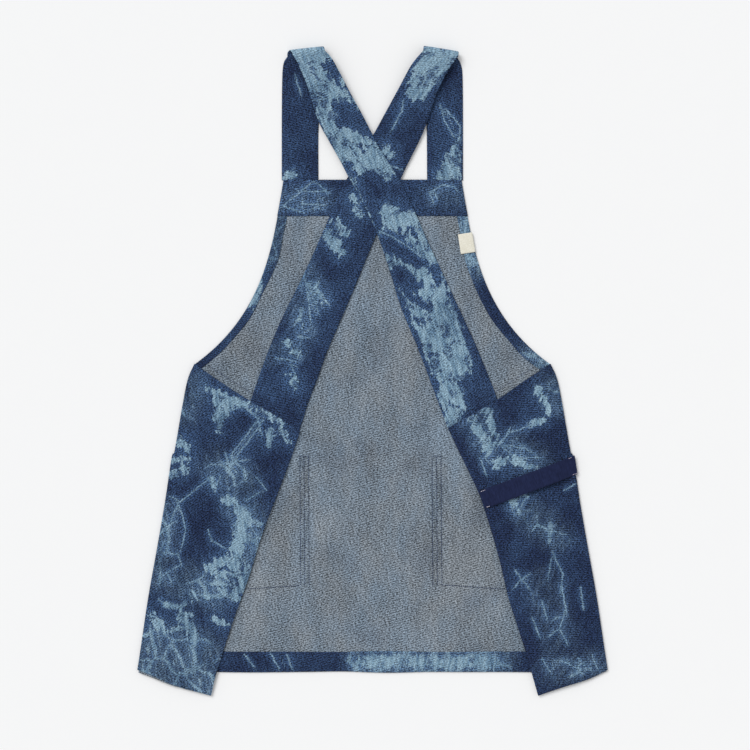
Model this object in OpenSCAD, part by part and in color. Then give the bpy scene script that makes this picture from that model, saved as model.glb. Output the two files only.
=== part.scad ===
// Cross-back artist's smock apron, laid flat on its front with both back wings folded over.
// +X is to the right, +Y towards the shoulders, +Z up from the surface that it lies on.
// The origin is the centre of the outline, on that surface. Millimetres.

/* [Body] */
// From the shoulder folds to the wing tips
overall_length = 907; // [860:1:950]
// Width between the side folds at the hem
hem_width = 657; // [630:1:680]
// Width between the side folds at the armholes
chest_width = 499; // [480:1:520]
// Width between the side folds at the pockets' top edges
waist_width = 562; // [550:1:570]
// Width of the bib at its top edge
bib_width = 250; // [236:1:270]
// Height of the bib's top edge above the origin
bib_top_y = 267.4; // [255:0.1:275]
// Height of the armholes' lower ends above the origin
armhole_y = 9; // [0:0.5:16]
// Height of the bottom edge, below the origin
hem_y = -421; // [-430:0.5:-410]

/* [Cloth] */
// Thickness of one layer of denim
cloth = 0.9; // [0.7:0.05:1.1]
// Gap between layers that move apart
layer_gap = 0.3; // [0.2:0.05:0.5]
// Height of the topstitching thread above the cloth
thread_h = 0.2; // [0.1:0.05:0.25]
// Width of a row of topstitching thread
thread_w = 0.8; // [0.6:0.1:1.2]

/* [Facings and hems] */
// Depth of the band along the bib's top
band_depth = 51; // [40:1:60]
// Depth of the turned-up hem
hem_depth = 27; // [20:1:35]
// Width of the facings around the armholes
facing_width = 16; // [12:1:20]
// Width of the wings' turned inner edges
wing_edge_width = 14; // [10:1:18]

/* [Straps] */
// Width of the straps in front of the shoulders
strap_width = 50; // [44:1:56]
// Thickness of a strap, which is two layers
strap_t = 1.8; // [1.4:0.1:2.2]
// Outer height of the soft fold over each shoulder
shoulder_h = 16; // [12:1:22]
// Distance from the bib's top edge to the line where the straps fold back
strap_end_length = 20; // [15:1:30]

/* [Wings] */
// Inner end of the seam between a wing and its strap, from the centre line
seam_inner = [103, -82]; // [-200:1:200]
// Outer end of that seam
seam_outer = [173, -43]; // [-200:1:200]
// Lower inner corner of a wing, from the centre line
wing_tip_x = 229; // [220:1:240]

/* [Pockets] */
// Distance of the pockets' inner edges from the centre line
pocket_inner_x = 91; // [80:1:110]
// Height of the pockets' top edges
pocket_top_y = -118; // [-130:1:-100]
// Height of the pockets' bottom edges
pocket_bottom_y = -303; // [-320:1:-290]

/* [Tool loop and label] */
// Length of the tape between its outer ends
tape_length = 142; // [130:1:150]
// Width of the tape
tape_width = 25; // [20:1:30]
// Thickness of the tape
tape_t = 1.2; // [1:0.1:1.5]
// How far the tape stands off the wing at its middle
tape_bow = 5.6; // [5:0.1:8]
// Angle of the tape above horizontal
tape_angle = 20.5; // [15:0.5:25]
// Centre of the tape
tape_centre = [220, -155]; // [-300:1:300]
// Width and height of the folded label
label_size = [19, 26]; // [15:1:30]

/* [Hidden] */

// Layers, from the surface upwards
panel_z = cloth;
facing_z = panel_z + cloth;
facing_top = facing_z + cloth;
wing_hem_z = facing_top + layer_gap;
wing_z = wing_hem_z + cloth;
wing_top = wing_z + cloth;
under_strap_z = wing_hem_z;
over_strap_z = under_strap_z + strap_t + layer_gap;
fold_axis_z = over_strap_z + strap_t + layer_gap;

// Edges of the body. The side folds stand one fold radius outside of the panel's straight edges
fold_centre_z = (panel_z + wing_top) / 2;
fold_r = (wing_top - panel_z) / 2;
side_top = [chest_width / 2, armhole_y];
side_knee = [waist_width / 2, pocket_top_y];
side_bottom = [hem_width / 2, hem_y];
skirt_slope = (side_bottom[0] - side_knee[0]) / (side_knee[1] - side_bottom[1]);
skirt_lean = atan(skirt_slope);

// Armhole edge: a Bezier curve from the bib's corner to the top of the side fold
armhole = [[bib_width / 2, bib_top_y], [bib_width / 2 + 14, bib_top_y - 89],
           [chest_width / 2 - 99, armhole_y + 71], side_top];
armhole_steps = 14;

// Straps. A strap leaves the bib on one side, and its back run crosses to the other side's wing
fold_line_y = bib_top_y + strap_end_length;
shoulder_y = overall_length / 2 - shoulder_h / 2 - 0.1;
strap_outer_x = bib_width / 2 + 1;
strap_inner_x = strap_outer_x - strap_width;
// The outer end of a shoulder fold is this much lower than its inner end, which stands 6 further in
shoulder_slope = 8;
shoulder_inner_x = strap_inner_x - 6;
split_gap = layer_gap / 2;
// Edges of the back run that goes from the right shoulder to the left wing: [y, left x, right x]
above_crossing = [327, 1, 65];
at_fold = [fold_line_y, -25, 46];
below_crossing = [197, -67, 6];
over_panel = [117, -103, -27];
near_wing = [0, -155, -75];

// Wing outline, from its top outer corner to its bottom outer corner
wing_tip = [wing_tip_x, -overall_length / 2];
wing_bottom = [[256, hem_y - 26], [285, hem_y - 17]];

// Points along a cubic Bezier curve
function bezier(p, u) = pow(1 - u, 3) * p[0] + 3 * pow(1 - u, 2) * u * p[1]
    + 3 * (1 - u) * pow(u, 2) * p[2] + pow(u, 3) * p[3];
function armhole_point(u) = bezier(armhole, u);
function armhole_normal(u) = let (d = armhole_point(min(u + 0.01, 1)) - armhole_point(max(u - 0.01, 0)))
    [d[1], -d[0]] / norm(d);
// A curve that stands inside of the armhole edge by a distance
function armhole_inset(inset) = [for (i = [0 : armhole_steps]) let (u = i / armhole_steps)
    armhole_point(u) + inset * armhole_normal(u)];
function reversed(points) = [for (i = [len(points) - 1 : -1 : 0]) points[i]];
function flipped(points) = [for (p = points) [-p[0], p[1]]];
function mix(a, b, u) = a * (1 - u) + b * u;
// Width of the armhole edge from the centre line, at a height between its ends
function armhole_x(y) = let (u = [for (i = [0 : 100]) if (armhole_point(i / 100)[1] >= y) i / 100])
    armhole_point(u[len(u) - 1])[0];

indigo = [0.22, 0.29, 0.42];
faded_indigo = [0.34, 0.43, 0.55];
wrong_side = [0.45, 0.49, 0.54];
tape_navy = [0.13, 0.15, 0.25];
thread = [0.30, 0.38, 0.55];
label_cream = [0.91, 0.90, 0.84];

// A flat piece of cloth that lies at a height
module layer(z, t, points) {
    translate([0, 0, z]) linear_extrude(height = t) polygon(points);
}

// Mirrors its children to the left side
module left_side() {
    mirror([1, 0, 0]) children();
}

// A ribbon through stations, each of which is [left edge point, right edge point, up vector]
module ribbon(stations, t) {
    n = len(stations);
    points = [for (s = stations) each [s[0], s[1], s[1] + t * s[2], s[0] + t * s[2]]];
    sides = [for (i = [0 : n - 2]) for (k = [0 : 3]) let (a = 4 * i + k, b = 4 * i + (k + 1) % 4)
        each [[a, b, b + 4], [a, b + 4, a + 4]]];
    last = 4 * (n - 1);
    caps = [[0, 2, 1], [0, 3, 2], [last, last + 1, last + 2], [last, last + 2, last + 3]];
    polyhedron(points = points, faces = concat(sides, caps));
}

// A row of topstitching along a path, at a height, whose straight runs stand a little apart
module stitch_row(path, z) {
    end_gap = 0.1;
    for (i = [0 : len(path) - 2])
        let (d = path[i + 1] - path[i], run = norm(d))
            translate([path[i][0], path[i][1], z]) rotate(atan2(d[1], d[0]))
                translate([end_gap, -thread_w / 2, 0]) cube([run - 2 * end_gap, thread_w, thread_h]);
}

// Body panel, wrong side up
module front_panel() {
    half = concat(armhole_inset(0), [side_knee, side_bottom]);
    color(wrong_side) layer(panel_z, cloth, concat(half, reversed(flipped(half))));
}

// Facing of the bib's top edge, right side up
module top_band() {
    top = bib_width / 2;
    bottom = armhole_x(bib_top_y - band_depth);
    color(indigo) layer(facing_z, cloth, [[top, bib_top_y], [bottom, bib_top_y - band_depth],
        [-bottom, bib_top_y - band_depth], [-top, bib_top_y]]);
}

// Facing of one armhole, from the band's lower edge to the side fold
module armhole_facing() {
    below_band = bib_top_y - band_depth;
    outer = [for (p = armhole_inset(0)) if (p[1] < below_band) p];
    inner = [for (p = armhole_inset(facing_width)) if (p[1] < below_band) p];
    color(faded_indigo) layer(facing_z, cloth, concat(outer, reversed(inner)));
}

// Turned-up hem along the bottom of the body panel
module bottom_hem() {
    lean = skirt_slope * hem_depth;
    color(indigo) layer(facing_z, cloth, [[hem_width / 2, hem_y], [hem_width / 2 - lean, hem_y + hem_depth],
        [lean - hem_width / 2, hem_y + hem_depth], [-hem_width / 2, hem_y]]);
}

// Patch pocket under the body panel, from its inner edge to the side fold
module pocket() {
    inner_lean = 3;
    outer_bottom_x = side_knee[0] + skirt_slope * (pocket_top_y - pocket_bottom_y);
    color(indigo) layer(0, cloth, [[pocket_inner_x, pocket_top_y], side_knee,
        [outer_bottom_x, pocket_bottom_y], [pocket_inner_x + inner_lean, pocket_bottom_y]]);
}

// Rolled cloth between the body panel and a wing: a half ring swept down the side
module side_fold() {
    steps = 10;
    edge_gap = 0.05;
    ring = [for (r = [fold_r, fold_r - cloth]) for (i = [0 : steps])
        let (a = (r == fold_r ? 1 : -1) * (-90 + 180 * i / steps)) [r * cos(a) + edge_gap, r * sin(a)]];
    n = len(ring);
    rows = [side_top, side_knee, side_bottom];
    points = [for (p = rows) for (c = ring) [p[0] + c[0], p[1], fold_centre_z + c[1]]];
    walls = [for (k = [0 : 1]) for (i = [0 : n - 1]) let (a = k * n + i, b = k * n + (i + 1) % n)
        each [[a, b, b + n], [a, b + n, a + n]]];
    top_cap = [for (i = [n - 1 : -1 : 0]) i];
    bottom_cap = [for (i = [0 : n - 1]) 2 * n + i];
    color(indigo) polyhedron(points = points, faces = concat([top_cap, bottom_cap], walls));
}

// Blank label, folded over the armhole edge
module label_tab() {
    leaf = 0.5;
    edge_gap = 0.6;
    lean = 13.5;
    leaf_z = facing_top + thread_h;
    height = leaf_z - panel_z;
    below_bib_top = 93;
    at_y = bib_top_y - below_bib_top;
    color(label_cream) translate([armhole_x(at_y) + edge_gap, at_y, 0]) rotate(lean)
        translate([-label_size[0], -label_size[1] / 2, 0]) {
            translate([0, 0, leaf_z]) cube([label_size[0], label_size[1], leaf]);
            translate([0, 0, panel_z - leaf]) cube([label_size[0], label_size[1], leaf]);
            translate([label_size[0], 0, panel_z - leaf]) cube([leaf, label_size[1], height + 2 * leaf]);
        }
}

// Height of a strap in front, which rises from the surface to the bib's layers
function front_strap_z(y) = panel_z * (shoulder_y - y) / (shoulder_y - bib_top_y);
// A station of a ribbon that lies level, from its [y, left x, right x]
function level(edges, z, shift = 0) = [[edges[1], edges[0] + shift, z], [edges[2], edges[0] + shift, z],
    [0, 0, 1]];
function front_station(y, shift = 0) = level([y, strap_inner_x, strap_outer_x], front_strap_z(y), shift);
// A station of a ribbon across a shoulder fold's end, at a height and a distance along +Y
function shoulder_station(z, shift, up) = [[shoulder_inner_x, shoulder_y + shift, z],
    [strap_outer_x, shoulder_y - shoulder_slope + shift, z], up];

// End of a strap, sewn to the bib's top edge
module strap_end() {
    color(indigo) ribbon([front_station(fold_line_y, -split_gap), front_station(bib_top_y, 0.1)], strap_t);
}

// Run of a strap from the fold line up to the shoulder
module front_strap() {
    color(indigo) ribbon([shoulder_station(0, 0, [0, 0, 1]),
        front_station(fold_line_y, split_gap)], strap_t);
}

// Soft roll of a strap over the shoulder
module shoulder_fold() {
    steps = 12;
    r = shoulder_h / 2;
    color(faded_indigo) ribbon([for (i = [0 : steps]) let (a = -90 + 180 * i / steps)
        shoulder_station(r + r * sin(a), r * cos(a) + 0.1, [0, -cos(a), -sin(a)])], strap_t);
}

// Back run of a strap that comes over the right shoulder, from the roll to the fold line
module upper_back_strap(z) {
    color(faded_indigo) ribbon([level(at_fold, z, split_gap), level(above_crossing, z),
        shoulder_station(shoulder_h - strap_t, 0, [0, 0, 1])], strap_t);
}

// Back run of a strap from the fold line down to the wing on the left
module lower_back_strap(z) {
    seam = [for (p = [seam_outer, seam_inner]) [-p[0], p[1] + layer_gap, under_strap_z]];
    color(indigo) ribbon([[seam[0], seam[1], [0, 0, 1]], level(near_wing, under_strap_z),
        level(over_panel, mix(z, under_strap_z, 0.5)), level(below_crossing, z),
        level(at_fold, z, -split_gap)], strap_t);
}

// Back wing, folded in from its side fold. Its top edge is the armhole's end and the strap seam
module wing() {
    color(indigo) layer(wing_z, cloth, concat(
        [side_top, seam_outer, seam_inner, wing_tip], wing_bottom, [side_bottom, side_knee]));
}

// Turned-up hem on the wing's underside
module wing_hem() {
    rise = [0, hem_depth];
    side_lean = [4.5, 0];
    tip_lean = [9, 0];
    color(indigo) layer(wing_hem_z, cloth, concat([wing_tip], wing_bottom, [side_bottom],
        [side_bottom + rise - side_lean], reversed([for (p = wing_bottom) p + rise]),
        [wing_tip + rise - tip_lean]));
}

// Turned inner edge on the wing's underside
module wing_edge() {
    above_hem = 0.08;
    start = mix(wing_tip, seam_inner, above_hem);
    inward = [wing_edge_width, 3];
    color(indigo) layer(wing_hem_z, cloth, [seam_inner, start, start + inward, seam_inner + inward]);
}

// Topstitching of a wing: two rows along the strap seam, one along the inner edge, one at the hem
module wing_stitching() {
    color(thread) {
        for (inset = [2, 8])
            stitch_row([side_top + [-5, -inset - 4], seam_outer - [0, inset],
                seam_inner - [-4, inset]], wing_top);
        stitch_row([seam_inner + [wing_edge_width, -20], wing_tip + [wing_edge_width - 8, 32]], wing_top);
        stitch_row([wing_tip + [12, 28], wing_bottom[0] + [0, 25], wing_bottom[1] + [0, 25],
            side_bottom + [-5, 25]], wing_top);
    }
}

// Tape of the tool loop, bowed off the right wing between its sewn ends
module tool_loop_tape() {
    flat = 9;
    ramp = 26;
    half = tape_length / 2;
    profile = [[-half, 0], [flat - half, 0], [flat + ramp - half, tape_bow], [half - flat - ramp, tape_bow],
        [half - flat, 0], [half, 0]];
    color(tape_navy) translate([tape_centre[0], tape_centre[1], wing_top]) rotate(tape_angle)
        translate([0, tape_width / 2, 0]) rotate([90, 0, 0]) linear_extrude(height = tape_width)
            polygon(concat(profile, reversed([for (p = profile) p + [0, tape_t]])));
}

// Bar tacks at the tape's corners
module tool_loop_bartacks() {
    tack = [2.2, 7, 0.5];
    color(thread) translate([tape_centre[0], tape_centre[1], wing_top + tape_t]) rotate(tape_angle)
        for (end = [-1, 1]) for (side = [-1, 1])
            translate([end * (tape_length / 2 - 4) - tack[0] / 2, side * 7 - tack[1] / 2, 0]) cube(tack);
}

// Topstitching around the band
module band_stitching() {
    inset = 3;
    low = bib_top_y - band_depth + inset;
    high = bib_top_y - inset;
    color(thread) {
        stitch_row([[4 - bib_width / 2, high], [bib_width / 2 - 4, high]], facing_top);
        stitch_row([[-armhole_x(low) + 4, low], [armhole_x(low) - 4, low]], facing_top);
    }
}

// Topstitching along the bottom hem
module hem_stitching() {
    y = hem_y + hem_depth - 3;
    color(thread) stitch_row([[8 - hem_width / 2, y], [hem_width / 2 - 8, y]], facing_top);
}

// Topstitching along one armhole facing
module facing_stitching() {
    row = [for (p = armhole_inset(facing_width - 3)) if (p[1] < bib_top_y - band_depth - 4) p];
    color(thread) stitch_row(row, facing_top);
}

// Rows that hold one pocket: three down its inner edge and one along its bottom
module pocket_stitching() {
    row_pitch = 6.2;
    color(thread) {
        for (k = [0 : 2])
            stitch_row([[pocket_inner_x + k * row_pitch, pocket_top_y - 2],
                [pocket_inner_x + k * row_pitch + 1.5, pocket_bottom_y + 4]], facing_z);
        stitch_row([[pocket_inner_x + 4, pocket_bottom_y + 2],
            [seam_inner[0] + 112, pocket_bottom_y + 2]], facing_z);
    }
}

front_panel();
top_band();
left_side() armhole_facing();  // left_armhole_facing
armhole_facing();  // right_armhole_facing
bottom_hem();
left_side() pocket();  // left_pocket
pocket();  // right_pocket
left_side() side_fold();  // left_side_fold
side_fold();  // right_side_fold
label_tab();
left_side() strap_end();  // left_strap_end
strap_end();  // right_strap_end
lower_back_strap(under_strap_z);  // left_lower_back_strap
left_side() lower_back_strap(over_strap_z);  // right_lower_back_strap
band_stitching();
hem_stitching();
left_side() facing_stitching();  // left_facing_stitching
facing_stitching();  // right_facing_stitching
left_side() pocket_stitching();  // left_pocket_stitching
pocket_stitching();  // right_pocket_stitching
left_side() front_strap();  // left_front_strap
front_strap();  // right_front_strap
left_side() shoulder_fold();  // left_shoulder_fold
shoulder_fold();  // right_shoulder_fold
left_side() upper_back_strap(over_strap_z);  // left_upper_back_strap
upper_back_strap(under_strap_z);  // right_upper_back_strap
left_side() wing();  // left_wing
left_side() wing_hem();  // left_wing_hem
left_side() wing_edge();  // left_wing_edge
left_side() wing_stitching();  // left_wing_stitching
wing();  // right_wing
wing_hem();  // right_wing_hem
wing_edge();  // right_wing_edge
wing_stitching();  // right_wing_stitching
tool_loop_tape();
tool_loop_bartacks();
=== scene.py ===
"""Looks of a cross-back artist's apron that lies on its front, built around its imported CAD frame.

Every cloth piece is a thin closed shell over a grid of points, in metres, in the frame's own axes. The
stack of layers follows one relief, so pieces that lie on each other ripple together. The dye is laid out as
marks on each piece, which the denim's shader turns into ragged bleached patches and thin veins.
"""

import logging
import math
from collections.abc import Callable, Sequence
from dataclasses import dataclass, field
from enum import Enum

import bpy
import numpy as np
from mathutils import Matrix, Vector


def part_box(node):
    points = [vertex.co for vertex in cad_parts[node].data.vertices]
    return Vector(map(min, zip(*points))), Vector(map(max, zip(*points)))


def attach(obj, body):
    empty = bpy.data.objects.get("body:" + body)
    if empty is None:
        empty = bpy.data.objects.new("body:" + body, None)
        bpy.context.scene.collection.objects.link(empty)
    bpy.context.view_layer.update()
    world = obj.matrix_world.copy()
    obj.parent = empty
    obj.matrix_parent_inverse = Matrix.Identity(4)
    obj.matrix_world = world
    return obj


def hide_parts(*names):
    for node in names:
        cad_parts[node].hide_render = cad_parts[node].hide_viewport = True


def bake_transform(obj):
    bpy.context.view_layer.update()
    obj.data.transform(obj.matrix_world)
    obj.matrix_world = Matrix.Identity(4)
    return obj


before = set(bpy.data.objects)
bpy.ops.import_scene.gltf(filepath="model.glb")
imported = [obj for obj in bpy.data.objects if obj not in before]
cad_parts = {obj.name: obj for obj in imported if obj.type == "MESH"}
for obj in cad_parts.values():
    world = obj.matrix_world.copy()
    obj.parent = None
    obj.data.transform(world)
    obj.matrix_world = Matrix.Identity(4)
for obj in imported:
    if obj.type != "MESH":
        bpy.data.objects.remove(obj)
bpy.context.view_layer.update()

LOG = logging.getLogger("apron")

ROOT = "apron_body"
STRAPS = "shoulder_straps"
WING_BODY = {-1: "left_back_wing", 1: "right_back_wing"}
SIDE_NAME = {-1: "left", 1: "right"}

Array = np.ndarray
Height = Callable[[Array, Array], Array]


# ---------------------------------------------------------------- curves and noise


def curve(points: Sequence[Sequence[float]], count: int) -> Array:
    """A smooth curve through given points.

    Args:
        points: Points of any dimension, which the curve passes through.
        count: How many evenly spaced points to return.

    Returns:
        An array of count points, spaced evenly along a Catmull-Rom curve.
    """
    p = np.array(points, float)
    if len(p) > 2:
        ends = np.vstack([2 * p[0] - p[1], p, 2 * p[-1] - p[-2]])
        u = np.linspace(0, 1, 16, endpoint=False)[:, None]
        rows = []
        for a, b, c, d in zip(ends, ends[1:], ends[2:], ends[3:]):
            rows.append(0.5 * (2 * b + (c - a) * u + (2 * a - 5 * b + 4 * c - d) * u**2
                               + (3 * b - a - 3 * c + d) * u**3))
        p = np.vstack(rows + [p[-1:]])
    return even(p, count)


def run_of(p: Array) -> Array:
    """How far along a polyline each of its points is."""
    return np.concatenate([[0], np.cumsum(np.linalg.norm(np.diff(p, axis=0), axis=1))])


def even(p: Array, count: int) -> Array:
    """Resamples a polyline at evenly spaced points.

    Args:
        p: The polyline's points, of any dimension.
        count: How many points to return.

    Returns:
        The new points, the first and the last as given.
    """
    run = run_of(p)
    at = np.linspace(0, run[-1], count)
    return np.stack([np.interp(at, run, p[:, k]) for k in range(p.shape[1])], axis=1)


def bezier(p: Sequence[Sequence[float]], count: int) -> Array:
    """Evenly spaced points along a cubic Bezier curve.

    Args:
        p: The curve's two ends, with its two handles between them.
        count: How many points to return.

    Returns:
        The points.
    """
    q = np.array(p, float)
    u = np.linspace(0, 1, 80)[:, None]
    v = 1 - u
    return even(v**3 * q[0] + 3 * v**2 * u * q[1] + 3 * v * u**2 * q[2] + u**3 * q[3], count)


def smooth(x: Array, low: float, high: float) -> Array:
    """Rises smoothly from 0 at low to 1 at high."""
    t = np.clip((x - low) / (high - low), 0, 1)
    return t * t * (3 - 2 * t)


def ripple(x: Array, y: Array, wavelength: float, seed: int, waves: int = 10) -> Array:
    """Smooth noise of about -1 to 1, as a sum of seeded plane waves.

    Args:
        x: Positions across.
        y: Positions along.
        wavelength: The typical wavelength in metres.
        seed: Which noise.
        waves: How many plane waves are summed.

    Returns:
        The noise at each position.
    """
    rng = np.random.default_rng(seed)
    total = np.zeros_like(x, dtype=float)
    for _ in range(waves):
        angle, phase = rng.uniform(0, 2 * math.pi, 2)
        k = 2 * math.pi / (wavelength * rng.uniform(0.7, 1.5))
        total += np.sin(k * (x * math.cos(angle) + y * math.sin(angle)) + phase)
    return total / math.sqrt(waves)


def distance(x: Array, y: Array, path: Array) -> tuple[Array, Array]:
    """Distance from points to a polyline.

    Args:
        x: Positions across.
        y: Positions along.
        path: The polyline's points.

    Returns:
        The distance, negative on the path's right side, and how far along the path the nearest point is,
        from 0 to 1.
    """
    best = np.full(x.shape, 1e9)
    signed = np.zeros(x.shape)
    share = np.zeros(x.shape)
    runs = np.linalg.norm(np.diff(path, axis=0), axis=1)
    total, gone = runs.sum(), 0.0
    for a, b, run in zip(path, path[1:], runs):
        dx, dy = (b - a) / run
        along = np.clip((x - a[0]) * dx + (y - a[1]) * dy, 0, run)
        ox, oy = x - a[0] - along * dx, y - a[1] - along * dy
        d = np.hypot(ox, oy)
        near = d < best
        side = np.where(dx * oy - dy * ox >= 0, 1.0, -1.0)
        best = np.where(near, d, best)
        signed = np.where(near, side * d, signed)
        share = np.where(near, (gone + along) / total, share)
        gone += run
    return signed, share


# ---------------------------------------------------------------- dye layout


class Ink(Enum):
    """What a dye mark does to the cloth."""

    LIGHT = "light"
    DARK = "dark"
    VEIN = "vein"
    PALE = "pale"


@dataclass(frozen=True)
class Mark:
    """One mark of the dye: a stroke along a path, from wide to narrow, in metres."""

    ink: Ink
    path: tuple[tuple[float, float], ...]
    wide: float = 0.006
    narrow: float | None = None
    strength: float = 1.0


PATCH_REACH = 0.03
VEIN_REACH = 0.010


def dye_fields(x: Array, y: Array, marks: Sequence[Mark]) -> dict[str, Array]:
    """Turns a piece's dye marks into the values that the denim's shader reads.

    Args:
        x: Positions across, at which the marks are placed.
        y: Positions along.
        marks: The piece's marks.

    Returns:
        patch, the signed distance into bleached areas; vein, the signed distance from the nearest vein;
        near, how strongly a vein shows; and pale, how faded the ground is.
    """
    patch = np.full(x.shape, -PATCH_REACH)
    vein = np.full(x.shape, VEIN_REACH)
    near = np.zeros(x.shape)
    pale = np.zeros(x.shape)
    best = np.full(x.shape, 1e9)
    for mark in marks:
        d, share = distance(x, y, np.array(mark.path, float))
        end = mark.wide if mark.narrow is None else mark.narrow
        radius = mark.wide + (end - mark.wide) * share
        inside = radius - np.abs(d)
        if mark.ink is Ink.LIGHT:
            patch = np.maximum(patch, inside)
        elif mark.ink is Ink.DARK:
            patch = np.minimum(patch, -inside)
            pale = pale * (1 - smooth(inside, -0.006, 0.002))
        elif mark.ink is Ink.PALE:
            pale = np.maximum(pale, mark.strength * smooth(inside, -0.022, 0.014))
        else:
            close = np.abs(d) < best
            vein = np.where(close, np.clip(d, -VEIN_REACH, VEIN_REACH), vein)
            best = np.minimum(best, np.abs(d))
            fade = smooth(share, -0.02, 0.08) * (1 - 0.75 * smooth(share, 0.7, 1.0))
            shown = mark.strength * fade * (1 - smooth(np.abs(d), 0.005, VEIN_REACH))
            near = np.maximum(near, shown)
    return {"patch": np.clip(patch, -PATCH_REACH, PATCH_REACH), "vein": vein, "near": near, "pale": pale}


# ---------------------------------------------------------------- cloth shells


@dataclass
class Cloth:
    """A grid of points in the middle of a sheet, its flat coordinates, and what is dyed on each face."""

    name: str
    points: Array
    flat: Array
    thickness: float | Array
    face: bpy.types.Material | None
    back: bpy.types.Material | None
    face_marks: Sequence[Mark] = ()
    back_marks: Sequence[Mark] = ()
    marks_at: Array | None = None
    given_normals: Array | None = None
    cuts: tuple[bool, bool] = (False, False)
    roundness: float = 0.45

    def normals(self) -> Array:
        """Unit normals of the grid, which point out of the face."""
        if self.given_normals is not None:
            return self.given_normals
        n = np.cross(np.gradient(self.points, axis=1), np.gradient(self.points, axis=0))
        return n / np.linalg.norm(n, axis=2, keepdims=True)

    def build(self) -> bpy.types.Object:
        """Makes the closed shell.

        Returns:
            The new object, with its flat coordinates as a UV map in metres and its dye as attributes.
        """
        rows, cols = self.points.shape[:2]
        half = np.broadcast_to(np.asarray(self.thickness, float), (rows, cols))[..., None] / 2
        n = self.normals()
        top_points, back_points = self.points + n * half, self.points - n * half
        grid = np.arange(rows * cols).reshape(rows, cols)
        ring = np.concatenate([grid[0, :-1], grid[:-1, -1], grid[-1, :0:-1], grid[:0:-1, 0]])
        rim = self._rim(ring, n, half, rows, cols)
        count = rows * cols
        verts = np.vstack([top_points.reshape(-1, 3), back_points.reshape(-1, 3), rim])
        a = grid[:-1, :-1].ravel()
        top = np.stack([a, a + 1, a + cols + 1, a + cols], axis=1)
        k = 2 * count + np.arange(len(ring))
        after, next_k = np.roll(ring, -1), np.roll(k, -1)
        upper = np.stack([after, ring, k, next_k], axis=1)
        lower = np.stack([next_k, k, ring + count, after + count], axis=1)
        mesh = bpy.data.meshes.new(self.name)
        mesh.from_pydata(verts.tolist(), [], np.vstack([top, top[:, ::-1] + count, upper, lower]).tolist())
        mesh.materials.append(self.face)
        mesh.materials.append(self.back)
        sides = np.concatenate([np.zeros(len(a)), np.ones(len(a)), np.zeros(len(ring)), np.ones(len(ring))])
        mesh.polygons.foreach_set("material_index", sides.astype(np.int32))
        mesh.polygons.foreach_set("use_smooth", np.ones(len(mesh.polygons), bool))
        self._write_fields(mesh, ring)
        self._sharpen_cuts(mesh, rows, cols)
        mesh.update()
        item = bpy.data.objects.new(self.name, mesh)
        bpy.context.scene.collection.objects.link(item)
        return item

    def _rim(self, ring: Array, n: Array, half: Array, rows: int, cols: int) -> Array:
        """Points of the rounded border, flat along a cut that another piece continues.

        Args:
            ring: The border's points, as numbers into the grid.
            n: The grid's normals.
            half: Half the thickness at each point.
            rows: Rows of the grid.
            cols: Columns of the grid.

        Returns:
            One point of the rim for each point of the ring.
        """
        border = self.points.reshape(-1, 3)[ring]
        tangent = np.roll(border, -1, axis=0) - np.roll(border, 1, axis=0)
        out = np.cross(tangent, n.reshape(-1, 3)[ring])
        out /= np.maximum(np.linalg.norm(out, axis=1, keepdims=True), 1e-9)
        reach = 2 * half.reshape(-1, 1)[ring] * self.roundness
        row = ring // cols
        if self.cuts[0]:
            reach[row == 0] = 0
        if self.cuts[1]:
            reach[row == rows - 1] = 0
        return border + out * reach

    def _sharpen_cuts(self, mesh: bpy.types.Mesh, rows: int, cols: int) -> None:
        """Keeps the shading of a cut end apart from the face, so that two pieces meet without a line.

        Args:
            mesh: The shell.
            rows: Rows of the grid.
            cols: Columns of the grid.
        """
        if not any(self.cuts):
            return
        pairs = np.zeros(len(mesh.edges) * 2, np.int32)
        mesh.edges.foreach_get("vertices", pairs)
        pairs = pairs.reshape(-1, 2)
        inside = pairs.max(axis=1) < 2 * rows * cols
        row = (pairs % (rows * cols)) // cols
        sharp = np.zeros(len(pairs), bool)
        for wanted, at in zip(self.cuts, (0, rows - 1)):
            if wanted:
                sharp |= inside & (row[:, 0] == at) & (row[:, 1] == at)
        mesh.attributes.new("sharp_edge", "BOOLEAN", "EDGE").data.foreach_set("value", sharp)

    def _write_fields(self, mesh: bpy.types.Mesh, ring: Array) -> None:
        """Writes the flat coordinates and the dye onto the mesh.

        Args:
            mesh: The shell.
            ring: The border's points, as numbers into the grid.
        """
        flat = self.flat.reshape(-1, 2)
        place = (self.flat if self.marks_at is None else self.marks_at).reshape(-1, 2)
        uv = np.vstack([flat, flat, flat[ring]])
        face = dye_fields(place[:, 0], place[:, 1], self.face_marks)
        back = dye_fields(place[:, 0], place[:, 1], self.back_marks)
        for key in face:
            values = np.concatenate([face[key], back[key], face[key][ring]]).astype(np.float32)
            mesh.attributes.new(key, "FLOAT", "POINT").data.foreach_set("value", values)
        loops = np.zeros(len(mesh.loops), np.int32)
        mesh.loops.foreach_get("vertex_index", loops)
        mesh.uv_layers.new(name="cloth").data.foreach_set("uv", uv[loops].astype(np.float32).ravel())


def coons(top: Array, bottom: Array, left: Array, right: Array) -> Array:
    """Fills a patch between four boundary curves that meet at the corners.

    Args:
        top: Curve from the left to the right at the start.
        bottom: Curve from the left to the right at the end.
        left: Curve from the start to the end on the left.
        right: Curve from the start to the end on the right.

    Returns:
        A grid of points, rows from start to end and columns from left to right.
    """
    v = np.linspace(0, 1, len(left))[:, None, None]
    u = np.linspace(0, 1, len(top))[None, :, None]
    ruled = (1 - v) * top[None] + v * bottom[None] + (1 - u) * left[:, None] + u * right[:, None]
    corners = ((1 - v) * (1 - u) * top[0] + (1 - v) * u * top[-1] + v * (1 - u) * bottom[0]
    + v * u * bottom[-1])
    return ruled - corners


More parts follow.
